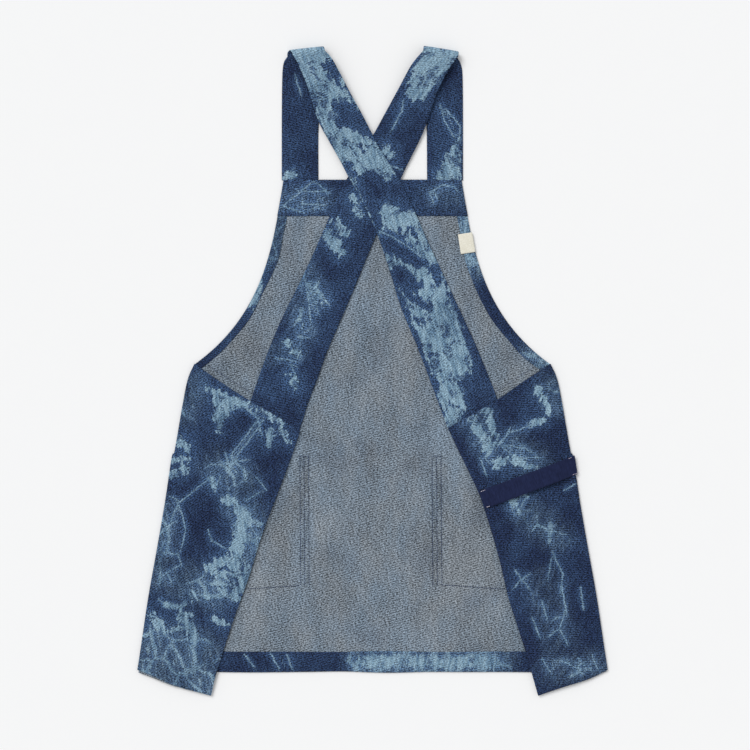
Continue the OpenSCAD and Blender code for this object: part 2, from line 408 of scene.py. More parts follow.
def lifted(grid: Array, height: Height) -> Array:
    """Gives a flat grid its heights."""
    return np.dstack([grid, height(grid[..., 0], grid[..., 1])])


# ---------------------------------------------------------------- shader graphs


class Socket:
    """A shader socket that takes part in Python expressions."""

    def __init__(self, graph: "Graph", link: bpy.types.NodeSocket) -> None:
        """Wraps a socket of a graph."""
        self.graph = graph
        self.link = link

    def _math(self, operation: str, *values: "Socket | float") -> "Socket":
        """Adds a Math node."""
        node = self.graph.node("ShaderNodeMath", {"operation": operation}, dict(enumerate(values)))
        return Socket(self.graph, node.outputs[0])

    def __add__(self, other: "Socket | float") -> "Socket":
        """Sum."""
        return self._math("ADD", self, other)

    def __radd__(self, other: float) -> "Socket":
        """Sum with a number first."""
        return self._math("ADD", other, self)

    def __sub__(self, other: "Socket | float") -> "Socket":
        """Difference."""
        return self._math("SUBTRACT", self, other)

    def __rsub__(self, other: float) -> "Socket":
        """Difference from a number."""
        return self._math("SUBTRACT", other, self)

    def __mul__(self, other: "Socket | float") -> "Socket":
        """Product."""
        return self._math("MULTIPLY", self, other)

    def __rmul__(self, other: float) -> "Socket":
        """Product with a number first."""
        return self._math("MULTIPLY", other, self)

    def __truediv__(self, other: "Socket | float") -> "Socket":
        """Quotient."""
        return self._math("DIVIDE", self, other)

    def __abs__(self) -> "Socket":
        """Size without sign."""
        return self._math("ABSOLUTE", self)

    def maximum(self, other: "Socket | float") -> "Socket":
        """The larger of two values."""
        return self._math("MAXIMUM", self, other)

    def step(self, low: "Socket | float", high: "Socket | float") -> "Socket":
        """Rises smoothly from 0 at low to 1 at high."""
        node = self.graph.node("ShaderNodeMapRange", {"interpolation_type": "SMOOTHSTEP"},
                               {"Value": self, "From Min": low, "From Max": high})
        return Socket(self.graph, node.outputs[0])


Color = tuple[float, float, float]


def linear(*display: int) -> Color:
    """A linear colour from 8-bit display values, by the display's curve."""
    shares = (value / 255 for value in display)
    return tuple(v / 12.92 if v <= 0.04045 else ((v + 0.055) / 1.055)**2.4 for v in shares)


TWILL_LEAN = math.radians(-16)


class Graph:
    """A material's node tree, built with expressions."""

    def __init__(self, name: str) -> None:
        """Makes an empty material."""
        self.material = bpy.data.materials.new(name)
        self.material.use_nodes = True
        self.tree = self.material.node_tree
        self.tree.nodes.clear()

    def node(self, kind: str, settings: dict | None = None, inputs: dict | None = None) -> bpy.types.Node:
        """Adds a node.

        Args:
            kind: The node's type.
            settings: Properties to set first.
            inputs: Values or sockets by input name or number.

        Returns:
            The new node.
        """
        made = self.tree.nodes.new(kind)
        for key, value in (settings or {}).items():
            setattr(made, key, value)
        for key, value in (inputs or {}).items():
            socket = made.inputs[key]
            if isinstance(value, Socket):
                self.tree.links.new(value.link, socket)
            elif socket.type == "RGBA" and len(value) == 3:
                socket.default_value = (*value, 1.0)
            else:
                socket.default_value = value
        return made

    def out(self, node: bpy.types.Node, name: str | int = 0) -> Socket:
        """An output of a node."""
        return Socket(self, node.outputs[name])

    def attribute(self, name: str) -> Socket:
        """A number painted on the mesh."""
        return self.out(self.node("ShaderNodeAttribute", {"attribute_name": name}), "Fac")

    def cloth(self, shift: tuple[float, float] = (0, 0), turn: float = 0.0,
              stretch: tuple[float, float] = (1, 1)) -> Socket:
        """The flat coordinates of the cloth in metres.

        Args:
            shift: How far they are moved.
            turn: The angle that they are turned by first.
            stretch: What they are multiplied by.

        Returns:
            The coordinates, which a pattern is laid on.
        """
        uv = self.out(self.node("ShaderNodeUVMap", {"uv_map": "cloth"}))
        turned = self.out(self.node("ShaderNodeVectorRotate", {"rotation_type": "Z_AXIS"},
                                    {"Vector": uv, "Angle": turn}))
        moved = self.node("ShaderNodeMapping", {}, {"Vector": turned, "Location": (*shift, 0.0),
                                                    "Scale": (*stretch, 1.0)})
        return self.out(moved)

    def noise(self, place: Socket, scale: float, detail: float = 2.0, rough: float = 0.5) -> Socket:
        """Noise of 0 to 1.

        Args:
            place: Where it is read.
            scale: How many features there are in a metre.
            detail: How many finer layers are added.
            rough: How strong the finer layers are.

        Returns:
            The noise.
        """
        made = self.node("ShaderNodeTexNoise", {"noise_dimensions": "2D"},
                         {"Vector": place, "Scale": scale, "Detail": detail, "Roughness": rough})
        return self.out(made, "Fac")

    def twill(self) -> Socket:
        """The slanted lines of the weave, 0 to 1, a little uneven."""
        made = self.node("ShaderNodeTexWave", {"bands_direction": "Y"},
                         {"Vector": self.cloth(turn=TWILL_LEAN), "Scale": 98.0, "Distortion": 2.2,
                          "Detail": 1.0, "Detail Scale": 0.6})
        return self.out(made, "Fac")

    def denim(self, steps: float, speck: float, twill: float) -> Socket:
        """The grain that both sides of the denim share, about 0.

        Args:
            steps: Strength of the short steps along the twill.
            speck: Strength of the finest speckle.
            twill: Strength of the twill's lines.

        Returns:
            The grain.
        """
        short = self.noise(self.cloth(turn=TWILL_LEAN, stretch=(0.5, 1)), 740, 0).step(0.37, 0.63)
        fine = self.noise(self.cloth(shift=(0.3, 0.1)), 640, 0).step(0.39, 0.61)
        return (short - 0.5) * steps + (fine - 0.5) * speck + (self.twill() - 0.5) * twill

    def warped(self, place: Socket, scale: float, amount: float) -> Socket:
        """Flat coordinates pushed about by noise.

        Args:
            place: The coordinates.
            scale: How many features of the noise there are in a metre.
            amount: About twice the farthest push, in metres.

        Returns:
            The new coordinates.
        """
        noise = self.node("ShaderNodeTexNoise", {"noise_dimensions": "2D"},
                          {"Vector": place, "Scale": scale, "Detail": 2.0, "Roughness": 0.55})
        push = self.out(noise, "Color")
        centred = self.out(self.node("ShaderNodeVectorMath", {"operation": "SUBTRACT"},
                                     {0: push, 1: (0.5,) * 3}))
        moved = self.node("ShaderNodeVectorMath", {"operation": "MULTIPLY_ADD"},
                          {0: centred, 1: (amount,) * 3, 2: place})
        return self.out(moved)

    def cracks(self, place: Socket, scale: float) -> Socket:
        """Distance in metres from the borders between cells."""
        made = self.node("ShaderNodeTexVoronoi", {"voronoi_dimensions": "2D", "feature": "DISTANCE_TO_EDGE"},
                         {"Vector": place, "Scale": scale})
        return self.out(made, "Distance") / scale

    def mix(self, a: "Socket | Color", b: "Socket | Color", share: "Socket | float") -> Socket:
        """Mixes two colours, where a share of 1 is all of the second."""
        made = self.node("ShaderNodeMix", {"data_type": "RGBA", "clamp_factor": True},
                         {0: share, 6: a, 7: b})
        return self.out(made, 2)

    def scaled(self, color: Socket, factor: Socket) -> Socket:
        """A colour times a number."""
        made = self.node("ShaderNodeVectorMath", {"operation": "SCALE"}, {0: color, "Scale": factor})
        return self.out(made)

    def bump(self, height: Socket, depth: float) -> Socket:
        """A normal bent by a height, whose full swing is depth metres."""
        return self.out(self.node("ShaderNodeBump", {},
                                  {"Height": height, "Distance": depth, "Strength": 1.0}))

    def finish(self, color: Socket, rough: float, normal: Socket | None = None,
               sheen: float = 0.0) -> bpy.types.Material:
        """Ends the graph in a Principled shader.

        Args:
            color: Base colour.
            rough: Roughness.
            normal: Bumped normal.
            sheen: Weight of the cloth's sheen.

        Returns:
            The material.
        """
        inputs = {"Base Color": color, "Roughness": rough, "Sheen Weight": sheen, "Sheen Roughness": 0.6,
                  "Specular IOR Level": 0.12}
        if normal is not None:
            inputs["Normal"] = normal
        shader = self.node("ShaderNodeBsdfPrincipled", {}, inputs)
        output = self.node("ShaderNodeOutputMaterial")
        self.tree.links.new(shader.outputs[0], output.inputs[0])
        return self.material


# ---------------------------------------------------------------- finishes


@dataclass(frozen=True)
class DyedDenim:
    """Right side of indigo denim, bleached where it was crumpled."""

    name: str
    seed: float
    dark: Color = linear(30, 44, 74)
    blue: Color = linear(62, 88, 124)
    bleached: Color = linear(100, 131, 155)
    white: Color = linear(154, 182, 198)
    weave: float = 0.0
    lift: float = 0.0

    def grain_of(self, g: Graph, depth: Socket) -> Socket:
        """The weave's light and dark, about 1.

        Args:
            g: The material's graph.
            depth: How strong the weave is at each place.

        Returns:
            What the dye's colour is multiplied by.
        """
        slubs = g.noise(g.cloth(stretch=(1, 0.16)), 430, 1)
        weft = g.noise(g.cloth(stretch=(0.16, 1)), 430, 1)
        threads = (slubs - 0.5) * (0.3 + self.weave) + (weft - 0.5) * self.weave
        return (1 + depth * (g.denim(steps=1.0, speck=0.8, twill=0.6) + threads)).maximum(0.12)

    def material(self) -> bpy.types.Material:
        """Builds the finish."""
        g = Graph(self.name)
        place = g.cloth(shift=(self.seed, 0.37 * self.seed))
        broad = g.noise(place, 18, 3, 0.55)
        ragged = g.noise(place, 90, 4, 0.7)
        fine = g.noise(place, 330, 2, 0.6)
        fingers = 1 - abs(g.noise(g.warped(place, 40, 0.02), 75, 3, 0.6) * 2 - 1)
        brushed = g.cloth(shift=(self.seed, 0.1), turn=0.15, stretch=(1, 0.2))
        brush = g.noise(g.warped(brushed, 25, 0.01), 190, 3, 0.65)
        rough = (ragged - 0.5) * 0.010 + (fingers - 0.8) * 0.014 + (brush - 0.5) * 0.014
        edge = g.attribute("patch") + rough
        crisp = edge.step(-0.0006, 0.0012)
        halo = edge.step(-0.020, 0.002)
        fade = g.attribute("pale")
        reach = abs(g.attribute("vein") + (ragged - 0.5) * 0.0045 + (fine - 0.5) * 0.002)
        shown = (g.attribute("near") + (broad - 0.5) * 0.8).step(0.1, 0.5)
        line = (1 - reach.step(0.0002, 0.0018)) * shown
        glow = (1 - reach.step(0.0, 0.010)) * shown
        bent = g.warped(g.warped(place, 15, 0.045), 55, 0.0065)
        level = fade * 1.05 + (broad - 0.5) * 0.9
        net = self.net(g.cracks(bent, 31) + rough * 0.3, level, 0.0062)
        small = self.net(g.cracks(bent, 70) + rough * 0.2, level - 0.45, 0.0022)
        net_share, glow_share = net[0].maximum(small[0]), net[1].maximum(small[1] * 0.8)
        feather = (brush * 0.8 + ragged * 0.35 + level * 0.1 - 0.68).step(0.03, 0.11) * level.step(0.15, 0.7)
        soft = fade * broad * 0.45 + (ragged - 0.42) * 0.3 + (brush - 0.45) * 0.4 + (broad - 0.38) * 1.1
        ground = g.mix(self.dark, self.blue, soft + self.lift + halo * 0.45 + glow * 0.5 + glow_share * 0.35)
        bright = g.mix(self.bleached, self.white, (brush * 1.1 + broad * 0.5 - 0.35).step(0.2, 0.75) * 0.75)
        fleck = (g.noise(g.warped(place, 30, 0.03), 48, 3, 0.6) + (fine - 0.5) * 0.1).step(0.54, 0.575)
        fleck = fleck * g.cracks(bent, 95).step(0.0002, 0.0016)
        hollow = (brush * 0.7 + broad * 0.9 - 0.66).step(-0.1, 0.14)
        share = (crisp * (1 - fleck * 0.78) * (0.6 + hollow * 0.36)).maximum(line * 0.72)
        share = share.maximum(net_share * (0.5 + brush * 0.45)).maximum(feather * 0.6)
        share = share.maximum(fade * (brush + ragged - 0.5) * 0.75)
        weave = self.grain_of(g, 1.1 - share * 0.6)
        color = g.scaled(g.mix(ground, bright, share), weave)
        return g.finish(color, 0.86, g.bump(weave, 0.0003), sheen=0.04)

    @staticmethod
    def net(border: Socket, level: Socket, widest: float) -> tuple[Socket, Socket]:
        """Bleached borders between dark cells, which widen as the local level rises.

        Args:
            border: Distance from the borders.
            level: How bleached the place is.
            widest: How much wider a border gets for each unit of the level.

        Returns:
            The borders, and the glow around them.
        """
        width = (level - 0.3).maximum(0.0) * widest
        shown = level.step(0.2, 0.5)
        past = border - width
        return (1 - past.step(0.0, 0.0017)) * shown, (1 - past.step(0.0, 0.009)) * shown


@dataclass(frozen=True)
class WrongSideDenim:
    """Wrong side of the same denim, where the pale weft shows."""

    name: str = "denim_wrong_side"
    warm: Color = linear(124, 131, 138)
    cool: Color = linear(116, 132, 148)
    # tone of the painted shade patches on the wrong side
    painted_shade: Color = linear(84, 96, 112)

    def material(self) -> bpy.types.Material:
        """Builds the finish."""
        g = Graph(self.name)
        broad = g.noise(g.cloth(stretch=(1, 0.45)), 11, 3, 0.55)
        patches = g.noise(g.cloth(shift=(0.7, 0.2), stretch=(1, 0.5)), 34, 3, 0.6)
        ground = g.mix(self.warm, self.cool, (broad * 0.7 + patches * 0.5 - 0.35).step(0.0, 0.5))
        # painted shade: broad random patches of the cloth are darkened towards the painted shade tone
        shade = g.noise(g.cloth(shift=(0.2, 0.9)), 16, 2, 0.5).step(0.5, 0.8)
        ground = g.mix(ground, self.painted_shade, shade * 0.35)
        stains = g.noise(g.cloth(shift=(0.4, 0.6), stretch=(1, 0.4)), 24, 4, 0.6)
        warp = g.noise(g.cloth(stretch=(1, 0.14)), 330, 1)
        weave = 0.99 + g.denim(steps=0.9, speck=0.5, twill=0.55) + (warp - 0.5) * 0.3 + (stains - 0.5) * 0.75
        sewn = (1 - abs(g.attribute("vein")).step(0.0003, 0.0017)) * g.attribute("near").step(0.05, 0.3)
        # painted light and shade of the puckers along the seam rows; the same streaks also feed the bump
        pucker_shading = g.attribute("near") * (g.noise(g.cloth(stretch=(0.3, 1)), 300, 1) - 0.5) * 0.5
        weave = (weave + pucker_shading).maximum(0.15) * (1 - sewn * 0.3)
        return g.finish(g.scaled(ground, weave), 0.9, g.bump(weave, 0.0003), sheen=0.06)


@dataclass(frozen=True)
class WovenTape:
    """Navy cotton tape with fine ribs."""

    name: str = "navy_tape"
    navy: Color = linear(18, 25, 54)
    lit: Color = linear(32, 41, 76)

    def material(self) -> bpy.types.Material:
        """Builds the finish."""
        g = Graph(self.name)
        rib = g.noise(g.cloth(stretch=(1, 0.15)), 620, 1)
        herring = g.noise(g.cloth(turn=math.radians(45), stretch=(1, 0.35)), 520, 1)
        wear = g.noise(g.cloth(), 60, 3, 0.6)
        weave = (rib * 0.6 + herring * 0.4 + wear * 0.35 - 0.2).step(0.1, 0.9)
        return g.finish(g.mix(self.navy, self.lit, weave), 0.8, g.bump(weave, 0.0002), sheen=0.03)


@dataclass(frozen=True)
class SewingThread:
    """Twisted sewing thread."""

    name: str
    shade: Color
    shadow: Color

    def material(self) -> bpy.types.Material:
        """Builds the finish."""
        g = Graph(self.name)
        place = g.out(g.node("ShaderNodeTexCoord"), "Object")
        twist = g.noise(place, 900, 1)
        along = g.noise(place, 60, 2)
        tint = g.mix(self.shadow, self.shade, (twist * 0.6 + along * 0.6 - 0.1).step(0.2, 0.8))
        return g.finish(tint, 0.7, g.bump(twist, 0.0002), sheen=0.1)


@dataclass(frozen=True)
class LabelCotton:
    """Plain cream label cloth with nothing on it."""

    name: str = "label_cotton"
    cream: Color = linear(238, 235, 222)
    shaded: Color = linear(222, 217, 200)

    def material(self) -> bpy.types.Material:
        """Builds the finish."""
        g = Graph(self.name)
        weft = g.noise(g.cloth(stretch=(0.2, 1)), 1300, 1)
        warp = g.noise(g.cloth(stretch=(1, 0.2)), 1300, 1)
        stain = g.noise(g.cloth(), 90, 2)
        weave = (weft + warp + stain * 0.5 - 0.75).step(0.0, 1.0)
        return g.finish(g.mix(self.shaded, self.cream, weave), 0.85, g.bump(weave, 0.0002))


@dataclass(frozen=True)
class PaleFloor:
    """The plain pale surface under the apron."""

    name: str = "pale_floor"
    shade: Color = (0.93, 0.93, 0.93)
    fleck: Color = (0.925, 0.925, 0.925)

    def material(self) -> bpy.types.Material:
        """Builds the finish."""
        g = Graph(self.name)
        place = g.out(g.node("ShaderNodeTexCoord"), "Object")
        tone = g.mix(self.shade, self.fleck, g.noise(place, 30))
        return g.finish(tone, 0.9)


@dataclass
class Finishes:
    """Every finish, made once."""

    wrong_side: bpy.types.Material = field(default_factory=lambda: WrongSideDenim().material())
    tape: bpy.types.Material = field(default_factory=lambda: WovenTape().material())
    label: bpy.types.Material = field(default_factory=lambda: LabelCotton().material())
    blue_thread: bpy.types.Material = field(default_factory=lambda: SewingThread(
        "blue_thread", linear(50, 68, 112), linear(24, 34, 68)).material())
    pale_thread: bpy.types.Material = field(default_factory=lambda: SewingThread(
        "bar_tack_thread", linear(232, 226, 236), linear(178, 170, 190)).material())
    denims: dict = field(default_factory=dict)

    def denim(self, piece: str, weave: float = 0.0, lift: float = 0.0) -> bpy.types.Material:
        """The dyed denim of one cut piece, each with its own mottling.

        Args:
            piece: The cut piece's name.
            weave: How much its single threads show.
            lift: How much lighter its ground is.

        Returns:
            The material, made at the first call for that piece.
        """
        if piece not in self.denims:
            seed = 1.7 * (len(self.denims) + 1)
            self.denims[piece] = DyedDenim(f"dyed_denim_{piece}", seed, weave=weave, lift=lift).material()
        return self.denims[piece]


# ---------------------------------------------------------------- measures

MM = 0.001
CLOTH_T = 0.9 * MM
STRAP_T = 1.7 * MM
PANEL_MID = 1.35 * MM
FACING_MID = 2.35 * MM
WING_MID = 4.4 * MM
POCKET_MID = 0.45 * MM
FOLD_Z = 2.85 * MM
FOLD_R = 2.1 * MM
STITCH_PITCH = 3.2 * MM

PANEL_LOW, PANEL_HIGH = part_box("front_panel")
TAPE_LOW, TAPE_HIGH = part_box("tool_loop_tape")

SIDE = ((250, 9), (259, -12), (266, -46), (277.5, -112), (281.5, -121), (290.5, -181), (302, -248),
           (314, -315),
        (324, -382), (329.5, -418))
ARMHOLE = ((124.6, 267.4), (138.6, 178.4), (150.1, 80), (249, 9))
FACING_INNER = {-1: ((-119.5, 217), (-125, 190), (-131.5, 157), (-141.5, 134), (-153, 111), (-171, 75),
                     (-192.5, 48), (-214, 25), (-243, 1)),
                1: ((118.3, 217), (124.5, 185), (131, 152), (140.5, 125), (154, 95), (170, 68), (193, 40),
                    (213, 18), (242, -3))}
WING_TOP = {-1: ((-251, 7), (-212, -19), (-171.5, -43.4), (-136, -63), (-101.5, -84)),
            1: ((251, 6), (214, -17), (175.7, -42), (141, -61), (105.7, -79.8))}
WING_INNER = {-1: ((-101.5, -84), (-116, -127), (-132, -169), (-155, -230), (-173, -288), (-195, -349),
                   (-218, -421), (-226, -453.6)),
              1: ((105.7, -79.8), (118, -106), (134, -139), (150, -174), (164.5, -218), (178.5, -267),
                  (190, -316), (204, -360), (216, -398), (222, -419), (231.7, -453.6))}
WING_BOTTOM = {-1: ((-226, -453.6), (-255.5, -446.6), (-283.5, -439), (-311.5, -428.4), (-329.5, -422)),
               1: ((231.7, -453.6), (248.5, -448), (276.5, -439.6), (304.5, -431), (329.5, -420))}
WING_LEAN = math.radians(17.8)


def mm(points: Sequence[Sequence[float]], side: int = 1) -> Array:
    """Points in metres from millimetres.

    Args:
        points: The points.
        side: 1 as given, or -1 to mirror them for the left side.

    Returns:
        The points in metres.
    """
    p = np.array(points, float) * MM
    p[:, 0] *= side
    return p


def band_of(y: Array, middle: float, half: float, soft: float) -> Array:
    """1 inside a band of heights, which fades out over soft."""
    return 1 - smooth(np.abs(y - middle), half, half + soft)


CREASES = (
    (((-95, -154), (-31, -146), (25, -133), (68, -119)), 1.5, 8), (((68, -112), (69, -165),
           (54, -226)), 1.1, 9),
    (((26, 112), (4, 52), (-6, -13), (-9, -104)), 1.3, 9), (((-38, 58), (-45, -13), (-46, -95)), 0.8, 9),
    (((-18, -176), (-14, -285)), 0.8, 10), (((60, 60), (48, 0), (52, -60)), 0.7, 12),
    (((-70, -200), (-66, -330)), 0.6, 12), (((70, -250), (84, -340)), 0.6, 14),
)


class Relief:
    """Heights of the sheets that lie on each other."""

    @staticmethod
    def ground(x: Array, y: Array) -> Array:
        """How far the front panel stands up from the flat."""
        half = np.interp(-y, [-0.267, -0.18, -0.08, -0.009, 0.118, 0.421],
                         [0.124, 0.137, 0.165, 0.245, 0.28, 0.328])
        fade = smooth(half - np.abs(x), 0.002, 0.05) * smooth(y, -0.424, -0.40)
        swell = 0.75 * MM * (1 + ripple(x, y, 0.17, 3)) + 0.22 * MM * ripple(x, y * 0.7, 0.055, 5)
        pucker = 0.16 * MM * ripple(x, y * 0.4, 0.017, 8) * band_of(y, -0.405, 0.014, 0.01)
        pucker += 0.12 * MM * ripple(x, y * 0.4, 0.02, 9) * band_of(y, 0.242, 0.024, 0.006)
        folds = np.zeros_like(swell)
        for path, high, half_width in CREASES:
            d, share = distance(x, y, curve(mm(path), 12))
            ends = smooth(share, 0.0, 0.15) * (1 - smooth(share, 0.85, 1.0))
            folds += high * MM * ends * np.exp(-(d / (half_width * MM))**2)
        return fade * (np.maximum(swell, 0) + folds) + np.maximum(pucker, 0)

    @staticmethod
    def panel(x: Array, y: Array) -> Array:
        """Middle of the front panel."""
        return PANEL_MID + Relief.ground(x, y)

    @staticmethod
    def facing(x: Array, y: Array) -> Array:
        """Middle of the facings, band and hem that are sewn onto the front panel."""
        return FACING_MID + Relief.ground(x, y)

    @staticmethod
    def wing(x: Array, y: Array) -> Array:
        """Middle of a back wing."""
        side = np.where(x < 0, -1.0, 1.0)
        edge_x = np.interp(-y, [-0.009, 0.046, 0.118, 0.421, 0.46], [0.249, 0.265, 0.28, 0.3285, 0.335])
        room = smooth(edge_x - x * side, 0.0, 0.03)
        puff = 0.55 * MM * (1 + ripple(x, y, 0.10, 21)) + 0.25 * MM * ripple(x, y, 0.045, 22)
        hem = 0.22 * MM * ripple(x, y * 0.3, 0.016, 23) * band_of(y, -0.43, 0.02, 0.01)
        return WING_MID + (Relief.ground(x, y) + np.maximum(puff, 0)) * room + np.maximum(hem, 0) * room


# ---------------------------------------------------------------- marks of the dye, in millimetres


def strokes(ink: Ink, wide: float, *paths: Sequence[Sequence[float]], narrow: float | None = None,
            strength: float = 1.0) -> list[Mark]:
    """Marks of one kind along several paths, all in millimetres."""
    end = None if narrow is None else narrow * MM
    return [Mark(ink, tuple((x * MM, y * MM) for x, y in path), wide * MM, end, strength) for path in paths]


def light(wide: float, *paths: Sequence[Sequence[float]], narrow: float | None = None) -> list[Mark]:
    """Bleached strokes."""
    return strokes(Ink.LIGHT, wide, *paths, narrow=narrow)


def dark(wide: float, *paths: Sequence[Sequence[float]], narrow: float | None = None) -> list[Mark]:
    """Strokes that keep their dye."""
    return strokes(Ink.DARK, wide, *paths, narrow=narrow)


def vein(strength: float, *paths: Sequence[Sequence[float]]) -> list[Mark]:
    """Thin bleached lines."""
    return strokes(Ink.VEIN, 0, *paths, strength=strength)


def pale(wide: float, strength: float, *paths: Sequence[Sequence[float]]) -> list[Mark]:
    """Softly faded strokes."""
    return strokes(Ink.PALE, wide, *paths, strength=strength)


OVER_STRAP = (
    light(26, ((-92, 446), (-66, 400))) + light(13, ((-80, 400), (-62, 352), (-52, 322)), narrow=8)
    + dark(9, ((-60, 426), (-48, 400)), narrow=5) + light(8, ((-52, 392), (-28, 372)))
    + dark(17, ((-36, 362), (-16, 334)), narrow=13) + light(22, ((-34, 316), (8, 284)))
    + dark(4, ((-18, 316), (-12, 306)))
    + dark(3.5, ((-34, 288), (-27, 272))) + dark(18, ((-4, 260), (34, 240)))
    + light(7, ((-33, 266), (-18, 232), (-2, 199)), narrow=3) + light(12, ((22, 222), (50, 206)))
    + light(33, ((44, 190), (58, 150), (76, 100), (97, 50), (108, 12)), narrow=29)
    + dark(17, ((24, 182), (44, 168), (66, 152)), narrow=11) + dark(16, ((36, 134), (60, 118)), narrow=11)
    + dark(9, ((84, 143), (90, 124)), narrow=6) + dark(8, ((44, 114), (56, 102), (78, 90)), narrow=6)
    + dark(2.5, ((50, 203), (64, 181)), ((38, 200), (52, 184)))
    + dark(2.5, ((102, 100), (104, 94)), ((96, 62), (104, 56)))
    + dark(5, ((58, 74), (74, 62)), narrow=2) + dark(4, ((124, 74), (136, 48), (150, 16)), narrow=14)
    + dark(5, ((76, 22), (90, 20))) + light(13, ((94, 12), (108, -10)), narrow=9)
    + light(17, ((108, -32), (118, -72)), narrow=12) + dark(2.5, ((104, -46), (122, -50)))
    + dark(16, ((156, 6), (156, -60)))
    + vein(1.0, ((10, 196), (44, 178), (72, 156)), ((60, 172), (84, 150)))
)
UNDER_STRAP = (
    light(24, ((98, 446), (62, 392)), narrow=14)
    + vein(1.0, ((43, 378), (41, 363), (25, 333)), ((24, 287), (43, 281)))
    + light(6, ((19, 308), (24, 302))) + light(4, ((-28, 243), (-24, 238)), ((-22, 226), (-17, 219)))
    + light(5, ((-90, 204), (-72, 212)), narrow=3) + vein(1.0, ((-76, 211), (-65, 197), (-61, 186)))
    + light(9, ((-60, 190), (-44, 166)), narrow=6) + light(5, ((-52, 207), (-38, 192)))
    + dark(3, ((-56, 202), (-48, 186)))
    + vein(1.0, ((-100, 176), (-97, 147), (-94, 127), (-76, 102)), ((-96, 142), (-108, 112)),
           ((-94, 127), (-90, 98)),
           ((-97, 147), (-112, 128)))
    + light(6, ((-102, 150), (-108, 126)), narrow=3) + pale(12, 0.45, ((-98, 140), (-84, 106)))
    + light(2.5, ((-104, 70), (-100, 60))) + light(4.5, ((-119, 40), (-104, 22)), narrow=5)
    + vein(0.9, ((-138, 18), (-120, 16), (-104, 12)), ((-116, 12), (-107, -6)))
    + light(4, ((-113, -6), (-108, -22))) + pale(10, 0.4, ((-110, 88), (-96, 60)), ((-136, 26), (-108, 30)))
    + vein(1.0, ((-88, 122), (-76, 84)), ((-84, 124), (-62, 94)), ((-90, 112), (-87, 70)))
    + light(3.5, ((-78, 118), (-68, 96)), narrow=1.5)
)
FRONT_STRAP = {
    -1: light(5, ((-122, 272), (-112, 276))) + vein(0.5, ((-110, 420), (-98, 380))),
    1: light(2, ((120, 322), (105, 272)), narrow=16)
    + vein(1.0, ((94, 374), (101, 349), (117, 322)), ((104, 365), (122, 343), (122, 328))),
}
BAND = (
    pale(14, 0.3, ((-120, 236), (-70, 240)), ((90, 246), (125, 244)))
    + vein(1.0, ((-101, 251), (-82, 266), (-63, 251), (-101, 251)), ((-101, 250), (-126, 231), (-96, 221)),
           ((-100, 234), (-66, 232)), ((80, 250), (98, 260), (115, 257), (121, 246)), ((80, 250), (86, 234)))
)
FRONT_FACE = (
    light(22, ((-90, 150), (-40, 60))) + light(16, ((60, 120), (30, 20), (80, -40)))
    + light(26, ((-150, -60), (-60, -140)))
    + light(14, ((140, -180), (60, -240))) + light(18, ((-200, -260), (-120, -340)))
    + light(20, ((180, -320), (90, -380)))
    + vein(1.0, ((-100, 230), (-60, 180), (-20, 150)), ((40, 200), (70, 160), (60, 110)), ((-20, -20),
           (20, -90)),
           ((200, -60), (160, -120), (180, -170)), ((-240, -120), (-190, -180)), ((0, -200),
           (-30, -280), (20, -350)))
    + pale(60, 0.5, ((-200, -380), (0, -300), (220, -380)))
)
POCKET_ROWS = {
    -1: (((-101.5, -119), (-100.3, -300)), ((-95.9, -119), (-94.7, -300)), ((-89.6, -119), (-88.4, -300)),
         ((-102, -119), (-89, -119)), ((-102, -300), (-188, -306))),
    1: (((83.3, -119), (84.5, -300)), ((89.6, -119), (90.8, -300)), ((95.9, -119), (97.1, -300)),
        ((83, -119), (96.5, -119)), ((97, -299), (196, -306))),
}
HEM = (
    pale(16, 0.8, ((-14, -406), (60, -406), (176, -406)))
    + light(7, ((-16, -408), (34, -404)), ((52, -404), (104, -409)), ((120, -406), (172, -408)))
    + vein(0.9, ((-143, -394), (-130, -418)), ((-120, -396), (-112, -418)), ((-180, -395), (-165, -415)))
)
FACING = {
    -1: pale(10, 0.6, ((-128, 215), (-140, 160))) + light(6, ((-160, 146), (-166, 94))),
    1: pale(14, 1.0, ((124, 217), (136, 150))) + light(5, ((128, 205), (135, 160)))
    + pale(10, 0.8, ((225, 20), (248, 6))),
}
